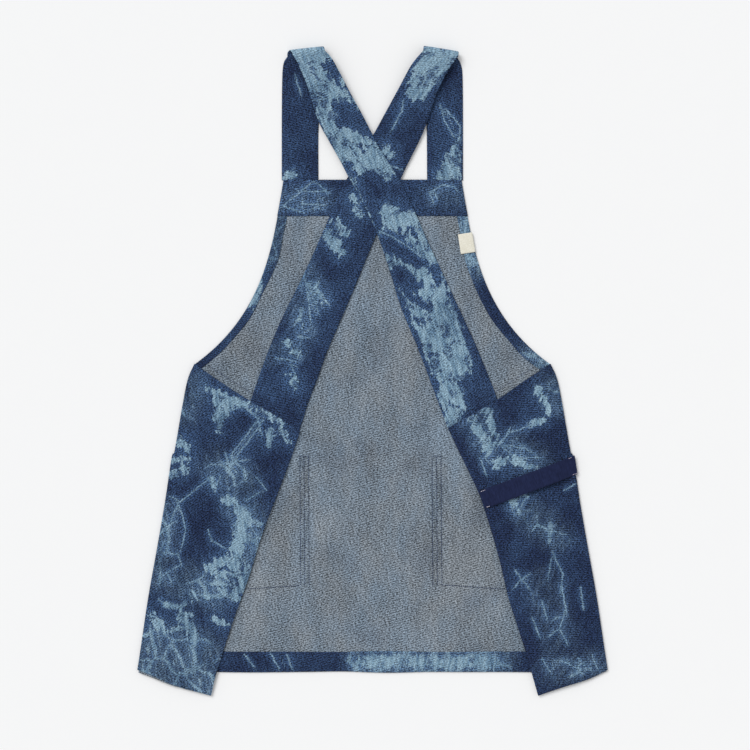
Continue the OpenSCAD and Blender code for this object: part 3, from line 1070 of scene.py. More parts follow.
WING = {
    -1: pale(10, 0.45, ((-248, -20), (-262, -60)))
    + light(14, ((-208, -44), (-212, -62), (-214, -80)), narrow=4)
    + light(3.5, ((-232, -24), (-200, -38), (-172, -50)), ((-172, -50), (-126, -73)))
    + dark(2, ((-172, -53), (-126, -76)))
    + vein(1.0, ((-200, -56), (-181, -49), (-160, -66)), ((-157, -64), (-176, -90), (-198, -118)),
           ((-152, -68), (-170, -94), (-191, -120)), ((-160, -68), (-154, -92)))
    + light(6, ((-143, -86), (-145, -104)), narrow=2) + light(5, ((-130, -82), (-115, -100)), narrow=1.5)
    + light(5, ((-273, -94), (-258, -111))) + light(3, ((-279, -125), (-259, -122)))
    + light(4.5, ((-280, -146), (-262, -137)))
    + vein(1.0, ((-214, -131), (-202, -127), (-174, -124)), ((-202, -127), (-206, -112)),
           ((-228, -147), (-219, -164)),
           ((-212, -146), (-218, -160)), ((-202, -127), (-190, -142)))
    + light(3, ((-226, -150), (-220, -163))) + pale(20, 0.42, ((-215, -135), (-185, -150), (-182, -188)))
    + vein(1.0, ((-228, -150), (-269, -183), (-286, -173)), ((-272, -185), (-265, -203), (-261, -223),
           (-268, -251)),
           ((-272, -186), (-286, -220), (-283, -237)), ((-163, -147), (-146, -169)), ((-157, -169),
           (-180, -183)),
           ((-230, -220), (-225, -237), (-205, -248)), ((-174, -214), (-158, -236)), ((-180, -236),
           (-160, -253)))
    + light(7, ((-202, -181), (-180, -203), (-185, -228), (-192, -268)), narrow=12)
    + pale(16, 0.62, ((-172, -200), (-168, -250))) + dark(14, ((-217, -222), (-209, -232)))
    + vein(1.0, ((-297, -253), (-272, -256), (-267, -270), (-286, -281), (-300, -290)), ((-286, -281),
           (-280, -300)),
           ((-290, -236), (-297, -253)), ((-300, -318), (-286, -330)))
    + light(6, ((-226, -276), (-202, -259)), narrow=5) + pale(22, 0.5, ((-262, -296), (-222, -306)))
    + light(5, ((-176, -284), (-224, -284)), ((-180, -300), (-232, -295)), ((-185, -320),
           (-216, -306)), narrow=2)
    + light(12, ((-176, -286), (-190, -312)), narrow=6) + light(5, ((-238, -314), (-232, -317)))
    + light(3.5, ((-289, -329), (-267, -329), (-252, -312)), ((-267, -329), (-272, -360), (-289, -365),
           (-300, -348)))
    + light(8, ((-262, -343), (-248, -376)), narrow=5) + light(4, ((-219, -346), (-199, -357)), narrow=2)
    + light(5, ((-308, -340), (-300, -356))) + dark(11, ((-287, -340), (-283, -352)))
    + dark(12, ((-232, -356), (-228, -372)))
    + pale(26, 0.52, ((-300, -388), (-240, -395))) + pale(24, 0.62, ((-308, -420), (-225, -435)))
    + pale(12, 0.52, ((-292, -196), (-296, -290))),
    1: light(5, ((230, -26), (239, -38), (246, -56)), narrow=2.5) + pale(10, 0.45, ((250, -18), (258, -44)))
    + light(5.5, ((160, -54), (167, -80), (176, -98)), narrow=3)
    + light(5, ((141, -68), (150, -90), (162, -106)), narrow=9)
    + light(6, ((160, -106), (177, -101)), narrow=2) + pale(12, 0.4, ((146, -76), (160, -112)))
    + vein(1.0, ((178, -100), (190, -87), (234, -71)), ((178, -103), (196, -118), (222, -134)),
           ((183, -103), (213, -108), (230, -118)), ((186, -92), (192, -80)), ((267, -167), (286, -157)))
    + light(4, ((222, -74), (240, -68)), narrow=3)
    + light(6, ((174, -128), (197, -124), (224, -134)), narrow=4)
    + dark(3, ((202, -132), (204, -134))) + pale(16, 0.4, ((196, -106), (226, -124)))
    + light(4, ((194, -178), (203, -196)), narrow=2) + light(3, ((190, -172), (216, -176)), narrow=1.5)
    + vein(0.9, ((216, -174), (206, -192)), ((190, -176), (196, -196)))
    + pale(15, 0.42, ((214, -196), (256, -230)))
    + vein(1.0, ((199, -278), (208, -290), (220, -306)), ((208, -290), (222, -282)), ((208, -290),
           (198, -302)))
    + vein(0.8, ((270, -330), (262, -360), (276, -390)), ((262, -360), (244, -372)), ((236, -400),
           (250, -424)),
           ((286, -400), (300, -418)), ((250, -250), (266, -284), (262, -310)), ((150, -120), (160, -150)))
    + vein(0.55, ((236, -318), (245, -352)), ((264, -296), (271, -338)), ((222, -342), (236, -378)),
           ((290, -300), (296, -340)), ((250, -262), (243, -300)))
    + vein(1.0, ((262, -404), (284, -414), (300, -404)), ((284, -414), (296, -426)), ((306, -396),
           (316, -420)))
    + pale(20, 0.26, ((240, -300), (262, -380))) + pale(18, 0.38, ((256, -414), (312, -414))),
}


# ---------------------------------------------------------------- stitches


class StitchMaker:
    """Copies one stitch along rows."""

    def __init__(self) -> None:
        """Models the stitch once: a short rod with six sides that narrows to both ends."""
        bpy.ops.mesh.primitive_uv_sphere_add(segments=6, ring_count=4, radius=0.5,
                                             rotation=(0, math.pi / 2, 0))
        rod = bpy.context.object
        bpy.ops.object.transform_apply(rotation=True)
        self.verts = np.array([v.co for v in rod.data.vertices])
        self.faces = [tuple(p.vertices) for p in rod.data.polygons]
        bpy.data.objects.remove(rod)

    def sew(self, name: str, rows: Sequence[tuple[Array, Array]], material: bpy.types.Material,
            pitch: float = STITCH_PITCH, width: float = 0.75 * MM, height: float = 0.42 * MM,
            fill: float = 0.8) -> bpy.types.Object:
        """Sews rows of stitches as one piece.

        Args:
            name: The new object's name.
            rows: For each row, its points and the cloth's normals there.
            material: The thread's finish.
            pitch: Distance between stitches.
            width: Width of the thread.
            height: Height of the thread.
            fill: Share of the pitch that a stitch covers.

        Returns:
            The new object.
        """
        verts: list[Array] = []
        faces: list[tuple[int, ...]] = []
        for points, normals in rows:
            length = np.linalg.norm(np.diff(points, axis=0), axis=1).sum()
            count = max(2, int(round(length / pitch)))
            path = self._resample(points, normals, 2 * count + 1)
            for k in range(1, 2 * count, 2):
                ahead = path[k + 1, :3] - path[k - 1, :3]
                run = np.linalg.norm(ahead)
                along = ahead / run
                up = path[k, 3:] - along * np.dot(path[k, 3:], along)
                up /= np.linalg.norm(up)
                side = np.cross(up, along)
                frame_of = np.stack([along * run * fill, side * width, up * height])
                base = len(verts) * len(self.verts)
                verts.append(self.verts @ frame_of + path[k, :3] + up * height * 0.12)
                faces.extend(tuple(base + i for i in f) for f in self.faces)
        mesh = bpy.data.meshes.new(name)
        mesh.from_pydata(np.vstack(verts).tolist(), [], faces)
        mesh.materials.append(material)
        mesh.polygons.foreach_set("use_smooth", np.ones(len(mesh.polygons), bool))
        mesh.update()
        item = bpy.data.objects.new(name, mesh)
        bpy.context.scene.collection.objects.link(item)
        return item

    @staticmethod
    def _resample(points: Array, normals: Array, count: int) -> Array:
        """Points and normals at even distances.

        Args:
            points: A row's points.
            normals: The cloth's normals there.
            count: How many to return.

        Returns:
            Rows of a point and its normal.
        """
        run = run_of(points)
        at = np.linspace(0, run[-1], count)
        both = np.hstack([points, normals])
        return np.stack([np.interp(at, run, both[:, k]) for k in range(6)], axis=1)


def row_on(height: Height, path: Array, lift: float) -> tuple[Array, Array]:
    """A row of points on top of a sheet that has a height everywhere.

    Args:
        height: The sheet's height.
        path: The row's path, without heights.
        lift: How far above that height the row lies.

    Returns:
        The row's points and normals.
    """
    p = even(path, max(8, int(np.linalg.norm(np.diff(path, axis=0), axis=1).sum() / 0.004)))
    z = height(p[:, 0], p[:, 1]) + lift
    return np.column_stack([p, z]), np.tile([0.0, 0.0, 1.0], (len(p), 1))


def inset(path: Array, by: float) -> Array:
    """The path moved sideways.

    Args:
        path: The path's points.
        by: How far to the path's left, or to its right if negative.

    Returns:
        The new path.
    """
    tangent = np.gradient(path, axis=0)
    tangent /= np.linalg.norm(tangent, axis=1, keepdims=True)
    return path + by * np.column_stack([-tangent[:, 1], tangent[:, 0]])


# ---------------------------------------------------------------- pieces


def rows_between(first: Array, last: Array, rows: int, cols: int) -> Array:
    """A grid between two edges.

    Args:
        first: The edge of the first column.
        last: The edge of the last column.
        rows: Rows of the grid.
        cols: Columns of the grid.

    Returns:
        The grid, without heights.
    """
    a, b = (edge if len(edge) == rows else curve(edge, rows) for edge in (first, last))
    u = np.linspace(0, 1, cols)[None, :, None]
    return a[:, None] * (1 - u) + b[:, None] * u


def turned_flat(xy: Array, angle: float) -> Array:
    """Flat coordinates of a piece whose warp leans from the length of the apron.

    Args:
        xy: Places on the piece.
        angle: How far the warp leans.

    Returns:
        The places in the cloth's own axes.
    """
    c, s = math.cos(angle), math.sin(angle)
    return np.stack([xy[..., 0] * c - xy[..., 1] * s, xy[..., 0] * s + xy[..., 1] * c], axis=-1)


@dataclass
class Maker:
    """What every sub-assembly needs."""

    finishes: Finishes
    stitches: StitchMaker

    def put(self, item: bpy.types.Object, body: str, slot: str, *nodes: str) -> bpy.types.Object:
        """Fixes an object to a body.

        Args:
            item: The object.
            body: The body that it rides on.
            slot: Not used.
            nodes: The CAD nodes that it stands for.

        Returns:
            The object.
        """
        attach(item, body)
        if nodes:
            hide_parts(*nodes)
        return item

    def bend(self, item: bpy.types.Object, bodies: tuple[str, str], start: Array, end: Array, slot: str,
             *nodes: str) -> bpy.types.Object:
        """Bends an object between two bodies.

        Args:
            item: The object.
            bodies: Not used.
            start: Not used beyond being turned into numbers.
            end: Not used.
            slot: Not used.
            nodes: The CAD nodes that it stands for.

        Returns:
            The object.
        """
        tuple(map(float, start))
        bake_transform(item)
        if nodes:
            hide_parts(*nodes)
        return item


@dataclass
class FrontBody:
    """The front panel with everything that is sewn onto it."""

    maker: Maker

    def build(self) -> None:
        """Makes the panel, the band, both facings, the hem, the pockets, the label and their stitching."""
        panel = self.panel()
        band = self.band()
        hem = self.hem()
        facings = [self.facing(side) for side in (-1, 1)]
        pockets = [self.pocket(side) for side in (-1, 1)]
        self.label()
        threads = self.thread_rows()

    def panel(self) -> bpy.types.Object:
        """The front panel, with its wrong side up."""
        rows, cols = 156, 142
        half_top = 124.5
        right = np.vstack([curve(mm(SIDE[::-1]), 96) - (2.6 * MM, 0), bezier(mm(ARMHOLE[::-1]), 61)[1:]])
        right[:, 0] -= 0.3 * MM
        right = even(right, rows)
        left = right * (-1, 1)
        x = np.linspace(-1, 1, cols)
        waver = 0.7 * MM * ripple(x, x * 0, 0.35, 4) * (1 - x * x)
        start = np.column_stack([x * right[0, 0], PANEL_LOW.y + 0 * x + waver])
        left[0], right[0] = start[0], start[-1]
        left[-1], right[-1] = (-half_top * MM, PANEL_HIGH.y), (half_top * MM, PANEL_HIGH.y)
        end = np.column_stack([x * half_top * MM, PANEL_HIGH.y + 0 * x])
        grid = coons(start, end, left, right)
        f = self.maker.finishes
        cloth = Cloth("front_panel_cloth", lifted(grid, Relief.panel), grid, CLOTH_T, f.wrong_side,
                      f.denim("front_panel"), face_marks=vein(1.0, *POCKET_ROWS[-1], *POCKET_ROWS[1]),
                      back_marks=FRONT_FACE)
        return self.maker.put(cloth.build(), ROOT, "denim_wrong_side", "front_panel")

    def band(self) -> bpy.types.Object:
        """The band along the bib's top edge, right side up."""
        edge = ((132.9, 217), (128.3, 242), (124.1, 267))
        grid = rows_between(mm(edge, -1), mm(edge), 20, 96)
        f = self.maker.finishes
        cloth = Cloth("top_band_cloth", lifted(grid, lambda x, y: Relief.facing(x, y)
    + 0.1 * MM), grid, CLOTH_T,
                      f.denim("top_band", 0.8, 0.24), f.wrong_side, face_marks=BAND)
        item = self.maker.put(cloth.build(), ROOT, "indigo_denim", "top_band")
        return item

    def hem(self) -> bpy.types.Object:
        """The turned-up hem, right side up."""
        x = np.linspace(-0.3235, 0.3235, 200)
        low = PANEL_LOW.y + 0.5 * MM + 0.7 * MM * ripple(x / 0.327, x * 0, 0.35, 4) * (1 - (x / 0.327)**2)
        high = PANEL_LOW.y + 28.2 * MM + 0.5 * MM * ripple(x, x * 0, 0.12, 6)
        v = np.linspace(0, 1, 14)[:, None, None]
        lean = np.column_stack([x * 0.987, high])
        grid = np.column_stack([x, low])[None] * (1 - v) + lean[None] * v
        f = self.maker.finishes
        cloth = Cloth("bottom_hem_cloth", lifted(grid, Relief.facing), grid, CLOTH_T, f.denim("bottom_hem"),
                      f.wrong_side, face_marks=HEM)
        item = self.maker.put(cloth.build(), ROOT, "indigo_denim", "bottom_hem")
        return item

    def facing(self, side: int) -> bpy.types.Object:
        """The facing around one armhole, right side up.

        Args:
            side: -1 for the left one and 1 for the right one.

        Returns:
            The new object.
        """
        rows, cols = 110, 9
        outer = bezier(mm(ARMHOLE, side), 200)
        outer = even(outer[outer[:, 1] < 216.8 * MM], rows)[::-1] - (side * 0.4 * MM, 0)
        inner = curve(mm(FACING_INNER[side][::-1]), rows)
        inner[-1, 1] = outer[-1, 1]
        first, last = (outer, inner) if side < 0 else (inner, outer)
        grid = rows_between(first, last, rows, cols)
        run = run_of(outer)
        flat = np.dstack([np.broadcast_to(np.linspace(0, 0.015, cols), (rows, cols)),
                          np.broadcast_to(run[:, None], (rows, cols))])
        f = self.maker.finishes
        name = SIDE_NAME[side]
        cloth = Cloth(f"{name}_armhole_facing_cloth", lifted(grid, Relief.facing), flat, CLOTH_T,
                      f.denim(f"{name}_facing"), f.wrong_side, face_marks=FACING[side], marks_at=grid)
        item = self.maker.put(cloth.build(), ROOT, "indigo_denim", f"{name}_armhole_facing")
        0.012 if side < 0 else 0.016
        return item

    def pocket(self, side: int) -> bpy.types.Object:
        """A patch pocket on the front of the panel, which is the underside here.

        Args:
            side: -1 for the left one and 1 for the right one.

        Returns:
            The new object.
        """
        rows, cols = 40, 44
        y = np.linspace(-303, -118, rows)
        edge = np.interp(-y, [118, 181, 248, 315], [277.5, 288.3, 299.8, 311.8]) - 0.6
        near, far = np.column_stack([y * 0 + 91.5, y]), np.column_stack([edge, y])
        near, far = mm(near, side), mm(far, side)
        grid = rows_between(*((far, near) if side < 0 else (near, far)), rows, cols)
        f = self.maker.finishes
        name = SIDE_NAME[side]
        height = (lambda x, y: POCKET_MID + Relief.ground(x, y))
        cloth = Cloth(f"{name}_pocket_cloth", lifted(grid, height), grid, 0.8 * MM, f.wrong_side,
                      f.denim(f"{name}_pocket"), back_marks=FRONT_FACE)
        item = self.maker.put(cloth.build(), ROOT, "indigo_denim", f"{name}_pocket")
        return item

    def label(self) -> bpy.types.Object:
        """The blank folded label that is caught under the right facing."""
        corners = mm(((123.9, 163.8), (143.5, 166.8), (119.9, 190.6), (138.9, 193.4)))
        u = np.linspace(0, 1, 12)[None, :, None]
        v = np.linspace(0, 1, 16)[:, None, None]
        grid = (1 - v) * ((1 - u) * corners[0] + u * corners[1]) + v * ((1 - u) * corners[2]
    + u * corners[3])
        height = (lambda x, y: Relief.facing(x, y) + 1.2 * MM + 0.3 * MM * np.sin(x * 160 + y * 60))
        f = self.maker.finishes
        cloth = Cloth("label_tab_cloth", lifted(grid, height), grid, 1.1 * MM, f.label, f.label)
        item = self.maker.put(cloth.build(), ROOT, "label_cotton", "label_tab")
        return item

    def thread_rows(self) -> list[bpy.types.Object]:
        """The stitching of the band, the hem, the facings and the pockets."""
        sew, thread = self.maker.stitches.sew, self.maker.finishes.blue_thread
        top = CLOTH_T / 2
        band = [row_on(Relief.facing, mm(((-131.5, 219.5), (131.5, 219.5))), top + 0.1 * MM),
                row_on(Relief.facing, mm(((-123, 263.5), (123, 263.5))), top + 0.1 * MM)]
        hem = [row_on(Relief.facing, mm(((-322, -395.4), (322, -395.4))), top)]
        made = [self.maker.put(sew("band_thread", band, thread), ROOT, "topstitch_thread", "band_stitching"),
                self.maker.put(sew("hem_thread", hem, thread), ROOT, "topstitch_thread", "hem_stitching")]
        for side in (-1, 1):
            name = SIDE_NAME[side]
            inner = inset(curve(mm(FACING_INNER[side]), 120), 2.2 * MM * side)
            row = row_on(Relief.facing, inner[inner[:, 1] < 215 * MM], top)
            made.append(self.maker.put(sew(f"{name}_facing_thread", [row], thread), ROOT, "topstitch_thread",
                                       f"{name}_facing_stitching"))
            rows = [row_on(Relief.panel, mm(path), top) for path in POCKET_ROWS[side]]
            made.append(self.maker.put(sew(f"{name}_pocket_thread", rows, thread, width=1.2 * MM, fill=0.62),
                                       ROOT, "topstitch_thread", f"{name}_pocket_stitching"))
        return made


@dataclass
class BackWing:
    """A back wing with its turned hem and inner edge, and the roll that joins it to the front."""

    maker: Maker
    side: int

    @property
    def name(self) -> str:
        """Left or right."""
        return SIDE_NAME[self.side]

    def outer_line(self, rows: int) -> Array:
        """The side's roll, from the bottom up."""
        return curve(mm(SIDE[::-1], self.side), rows)

    def build(self) -> None:
        """Makes the wing and everything sewn onto it."""
        wing = self.wing()
        parts = [self.hem(), self.edge(), *self.thread_rows()]
        self.side_roll()

    def flat_grid(self, rows: int, cols: int) -> Array:
        """The wing's outline filled with points.

        Args:
            rows: Rows, from the bottom up.
            cols: Columns, from the roll to the inner edge.

        Returns:
            The grid, without heights.
        """
        roll = self.outer_line(rows) - (self.side * (FOLD_R + 0.45 * MM), 0)
        inner = curve(mm(WING_INNER[self.side][::-1]), rows)
        low = curve(mm(WING_BOTTOM[self.side][::-1]), cols)
        high = curve(mm(WING_TOP[self.side]), cols)
        pull = 1 - np.linspace(0, 1, cols)[:, None]
        return coons(low + (roll[0] - low[0]) * pull, high + (roll[-1] - high[0]) * pull, roll, inner)

    def wing(self) -> bpy.types.Object:
        """The wing with the upper half of the side's roll, right side up."""
        rows, cols = 180, 84
        grid = self.flat_grid(rows, cols)
        top = lifted(grid, Relief.wing)
        top[..., 2] += self.seam_rise(grid)
        centre = grid[:, 0]
        along = np.gradient(centre, axis=0)
        along /= np.linalg.norm(along, axis=1, keepdims=True)
        out = np.column_stack([along[:, 1], -along[:, 0]]) * self.side
        out *= np.sign(out[:, :1]) * self.side
        radius = top[:, 0, 2] - FOLD_Z
        turns = np.linspace(math.radians(-24), math.radians(80), 7)
        roll = np.stack([np.column_stack([centre + out * (radius * math.cos(t))[:, None],
                                          FOLD_Z + radius * math.sin(t)]) for t in turns], axis=1)
        points = np.concatenate([roll, top], axis=1)
        reach = (radius[:, None] * (math.pi / 2 - turns)[None])[..., None]
        spread = np.concatenate([centre[:, None] + out[:, None] * reach, grid], axis=1)
        if self.side > 0:
            points, spread = points[:, ::-1], spread[:, ::-1]
        f = self.maker.finishes
        cloth = Cloth(f"{self.name}_wing_cloth", points, turned_flat(spread, self.side * WING_LEAN), CLOTH_T,
                      f.denim(f"{self.name}_wing", 0.0, -0.06 * self.side), f.wrong_side,
                      face_marks=WING[self.side], marks_at=spread)
        return self.maker.put(cloth.build(), WING_BODY[self.side], "indigo_denim", f"{self.name}_wing")

    def seam_rise(self, grid: Array) -> Array:
        """How far the seam allowance of the strap pushes the wing's top edge up.

        Args:
            grid: Places on the wing.

        Returns:
            The rise at each place.
        """
        seam = mm(WING_TOP[self.side])[2:]
        d, _ = distance(grid[..., 0], grid[..., 1], seam)
        return 0.9 * MM * (1 - smooth(np.abs(d), 0.004, 0.014))

    def hem(self) -> bpy.types.Object:
        """The wing's turned hem, underneath."""
        rows, cols = 12, 44
        low = curve(mm(WING_BOTTOM[self.side][::-1]), cols)
        low = low + (self.side * -2.5 * MM, 0) * (1 - np.linspace(0, 1, cols)[:, None])
        low += (0, 0.6 * MM)
        shift = np.array((-self.side * 6 * MM, 28 * MM))
        v = np.linspace(0, 1, rows)[:, None, None]
        return self.under("wing_hem", low[None] + shift * v)

    def edge(self) -> bpy.types.Object:
        """The wing's turned inner edge, underneath."""
        rows, cols = 110, 7
        inner = curve(mm(WING_INNER[self.side][::-1]), 160)
        inner = even(inner[inner[:, 1] > -0.421], rows)
        shift = np.linspace(0.6, 14, cols)[::-1] * MM * self.side
        grid = np.dstack([inner[:, :1] + shift[None], np.repeat(inner[:, 1:], cols, axis=1)])
        return self.under("wing_edge", grid)

    def under(self, part: str, grid: Array) -> bpy.types.Object:
        """A strip under the wing, which is the turned cloth's right side and so faces down.

        Args:
            part: The strip's name.
            grid: The strip's points, without heights.

        Returns:
            The new object.
        """
        grid = grid[:, ::self.side * -1]
        height = (lambda x, y: Relief.wing(x, y) - CLOTH_T - 0.05 * MM)
        f = self.maker.finishes
        cloth = Cloth(f"{self.name}_{part}_cloth", lifted(grid, height),
                      turned_flat(grid, self.side * WING_LEAN), 0.8 * MM, f.wrong_side,
                      f.denim(f"{self.name}_wing"))
        item = self.maker.put(cloth.build(), WING_BODY[self.side], "indigo_denim", f"{self.name}_{part}")
        return item

    def side_roll(self) -> bpy.types.Object:
        """The cloth between the front panel and the wing."""
        rows = 150
        line = self.outer_line(rows) - (self.side * (FOLD_R + 0.45 * MM), 0)
        turns = np.linspace(-math.pi / 2, math.pi / 2, 13)
        radius = 1.25 * MM
        x = line[:, :1] + self.side * radius * np.cos(turns)[None]
        z = np.broadcast_to(FOLD_Z + radius * 1.1 * np.sin(turns)[None], x.shape)
        points = np.dstack([x, np.broadcast_to(line[:, 1:], x.shape), z])
        flat = np.dstack([x + radius * turns[None], points[..., 1]])
        if self.side < 0:
            points, flat = points[::-1], flat[::-1]
        f = self.maker.finishes
        cloth = Cloth(f"{self.name}_side_fold_cloth", points, flat, 0.8 * MM, f.denim(f"{self.name}_wing"),
                      f.wrong_side)
        middle = (self.side * 0.3, -0.2)
        item = self.maker.bend(cloth.build(), (ROOT, WING_BODY[self.side]), (*middle, FOLD_Z - 0.001),
                               (*middle, FOLD_Z + 0.001), "indigo_denim", f"{self.name}_side_fold")
        return item

    def thread_rows(self) -> list[bpy.types.Object]:
        """The topstitching of the hem, the inner edge, the strap seam and the armhole edge."""
        s = self.side
        height = (lambda x, y: Relief.wing(x, y) + self.seam_rise(np.stack([x, y], axis=-1)))
        low = curve(mm(WING_BOTTOM[s][::-1]), 60)
        hem = low + np.array((-s * 5.2, 26)) * MM
        inner = curve(mm(WING_INNER[s]), 120)
        edge = inset(inner, 2.2 * MM * s)
        second = inset(inner, 12.5 * MM * s)
        second = second[(second[:, 1] > -0.43) & (second[:, 1] < -0.092)]
        top = curve(mm(WING_TOP[s]), 120)
        seam = top[np.abs(top[:, 0]) < 0.172]
        rows = [hem[2:-4], edge[4:-2], second, inset(seam, -2 * MM * s), inset(seam, -6 * MM * s),
                inset(top, -13 * MM * s)[4:-10]]
        lift = CLOTH_T / 2
        item = self.maker.stitches.sew(f"{self.name}_wing_thread", [row_on(height, r, lift) for r in rows],
                                       self.maker.finishes.blue_thread)
        return [self.maker.put(item, WING_BODY[s], "topstitch_thread", f"{self.name}_wing_stitching")]


SEAM_COLUMNS = (2, -3)


@dataclass(frozen=True)
class StrapShape:
    """One strap's lines in millimetres, its outer edge first, and its dye.

    Heights are pairs of a place along the apron and the height of the strap's middle there. The cut is where
    the strap's two pieces meet, in metres along the apron.
    """

    side: int
    name: str
    roll: tuple[float, float]
    front: tuple
    back: tuple
    heights: tuple
    marks: Sequence[Mark]
    cut: float = 0.242


@dataclass
class Strap:
    """A strap from one shoulder of the bib, over the shoulder and across the back to the other wing."""

    maker: Maker
    shape: StrapShape
    columns: int = 23
    front_rows: int = 46
    roll_rows: int = 15
    back_rows: int = 150
    roll_reach: float = 7.2 * MM
    wide: float = 0.053
    back_wide: float = 0.07

    @property
    def middle(self) -> int:
        """The column along the strap's middle."""
        return self.columns // 2

    @property
    def back_from(self) -> int:
        """The row after which the strap lies on the back."""
        return self.front_rows + self.roll_rows + 1

    def edge_line(self, outer: bool) -> Array:
        """One edge of the strap, from the bib over the shoulder and down to the wing.

        Args:
            outer: Whether it is the outer edge.

        Returns:
            The edge's points, with heights.
        """
        k = 0 if outer else 1
        front = curve(mm(self.shape.front[k]), self.front_rows)
        back = curve(mm(self.shape.back[k]), self.back_rows)
        z_front = 1.45 * MM - 0.2 * MM * smooth(front[:, 1], 0.27, 0.33)
        keys = np.array(self.shape.heights) * MM
        z_back = np.interp(-back[:, 1], -keys[:, 0], keys[:, 1])
        z_back = np.convolve(np.pad(z_back, 6, mode="edge"), np.ones(13) / 13, mode="valid")
        turns = np.linspace(0, math.pi, self.roll_rows + 2)[1:-1]
        share = (1 - np.cos(turns)) / 2
        out = np.array(self.shape.roll) / np.hypot(*self.shape.roll)
        flat = front[-1] + (back[0] - front[-1]) * share[:, None]
        flat = flat + out * self.roll_reach * np.sin(turns)[:, None]
        z_roll = z_front[-1] + (z_back[0] - z_front[-1]) * share
        return np.vstack([np.column_stack([front, z_front]), np.column_stack([flat, z_roll]),
                          np.column_stack([back, z_back])])

    def grid(self) -> Array:
        """The strap's middle surface, from its right edge to its left one as seen from the bib."""
        outer, inner = self.edge_line(True), self.edge_line(False)
        first, last = (inner, outer) if self.shape.side < 0 else (outer, inner)
        u = np.linspace(0, 1, self.columns)[None, :, None]
        points = first[:, None] * (1 - u) + last[:, None] * u
        x, y = points[..., 0], points[..., 1]
        back = (np.arange(len(points)) > self.back_from)[:, None] * 1.0
        on_body = smooth(-y, -0.285, -0.25) * back
        points[..., 2] += Relief.ground(x, y) * on_body + 0.25 * MM * ripple(x, y, 0.06, 31) * back
        return points

    def build(self) -> None:
        """Makes the strap in two pieces that share a cut where both follow the front, and its stitching."""
        points = self.grid()
        run = run_of(points[:, self.middle])
        across = np.cumsum(np.linalg.norm(np.diff(points, axis=1, prepend=points[:, :1]), axis=2), axis=1)
        across -= across[:, self.middle, None]
        flat = np.dstack([across, np.broadcast_to(run[:, None], across.shape)])
        u = np.linspace(-1, 1, self.columns)
        thick = STRAP_T * (0.72 + 0.5 * (1 - np.abs(u)**5)) + 0 * run[:, None]
        thick = thick * (0.6 + 0.4 * smooth(run[-1] - run, 0.0, 0.02)[:, None])
        normals = Cloth(self.shape.name, points, flat, 0.0, None, None).normals()
        cut = self.row_at(points, self.back_from, self.shape.cut)
        own, other = SIDE_NAME[self.shape.side], SIDE_NAME[-self.shape.side]
        nodes = [f"{own}_{part}" for part in ("strap_end", "front_strap", "shoulder_fold",
                                              "upper_back_strap")]
        bib = points[:self.front_rows + 4], normals[:self.front_rows + 4], thick[:self.front_rows + 4]
        below = [self.row(bib[0], -bib[1], bib[2], column) for column in SEAM_COLUMNS]
        self.piece(points, normals, thick, flat, slice(0, cut + 1), f"{own}_strap_over_shoulder", nodes,
                   (ROOT, STRAPS), (0, 0.268, 0), (0, 0.307, 0), below)
        tail = points[-1, self.middle]
        head = points[self.row_at(points, cut, 0.18), self.middle]
        stop = tail + (head - tail) / np.linalg.norm(head - tail) * 0.028
        self.piece(points, normals, thick, flat, slice(cut, None), f"{other}_back_strap_run",
                   [f"{other}_lower_back_strap"], (ROOT, WING_BODY[-self.shape.side]), head, stop, [])

    def row_at(self, points: Array, first: int, y: float) -> int:
        """The row at or after the first one whose middle is nearest to a place along the apron."""
        return int(np.argmin(np.abs(points[first:, self.middle, 1] - y)) + first)

    def piece(self, points: Array, normals: Array, thick: Array, flat: Array, part: slice, name: str,
              nodes: Sequence[str], bodies: tuple[str, str], start: Sequence[float], end: Sequence[float],
              below: list[tuple[Array, Array]]) -> None:
        """Makes one of the strap's two pieces with its stitching.

        Args:
            points: The whole strap's middle surface.
            normals: Its normals.
            thick: Its thickness.
            flat: Its flat coordinates.
            part: The rows of this piece.
            name: The piece's name.
            nodes: The CAD nodes that it stands for.
            bodies: Two bodies, passed on to Maker.bend, which does not use them.
            start: A place, passed on to Maker.bend, which makes no bend.
            end: A place, passed on to Maker.bend, which does not use it.
            below: Rows of stitches that show on its other face.
        """
        f = self.maker.finishes
        upper = part.start == 0
        denim = f.denim(f"{SIDE_NAME[self.shape.side]}_strap", 0.2, 0.1)
        cloth = Cloth(f"{name}_cloth", points[part], flat[part], thick[part], denim, denim,
                      face_marks=self.shape.marks, back_marks=FRONT_STRAP[self.shape.side],
                      marks_at=points[part, :, :2], given_normals=normals[part], cuts=(not upper, upper))
        item = cloth.build()
        rows = [self.row(points, normals, thick, column) for column in SEAM_COLUMNS]
        threads = [(p[part], n[part]) for p, n in rows] + below
        thread = self.maker.stitches.sew(f"{name}_thread", threads, f.blue_thread, fill=0.7,
                                         width=0.55 * MM, height=0.3 * MM)
        self.maker.bend(item, bodies, start, end, "indigo_denim", *nodes)
        self.maker.bend(thread, bodies, start, end, "topstitch_thread")
        run = run_of(points[:, self.middle])[part]

    @staticmethod
    def row(points: Array, normals: Array, thick: Array, column: int) -> tuple[Array, Array]:
        """A row along the strap, on the face that the normals point out of."""
        p, n = points[:, column], normals[:, column]
        return p + n * thick[:, column, None] / 2, n


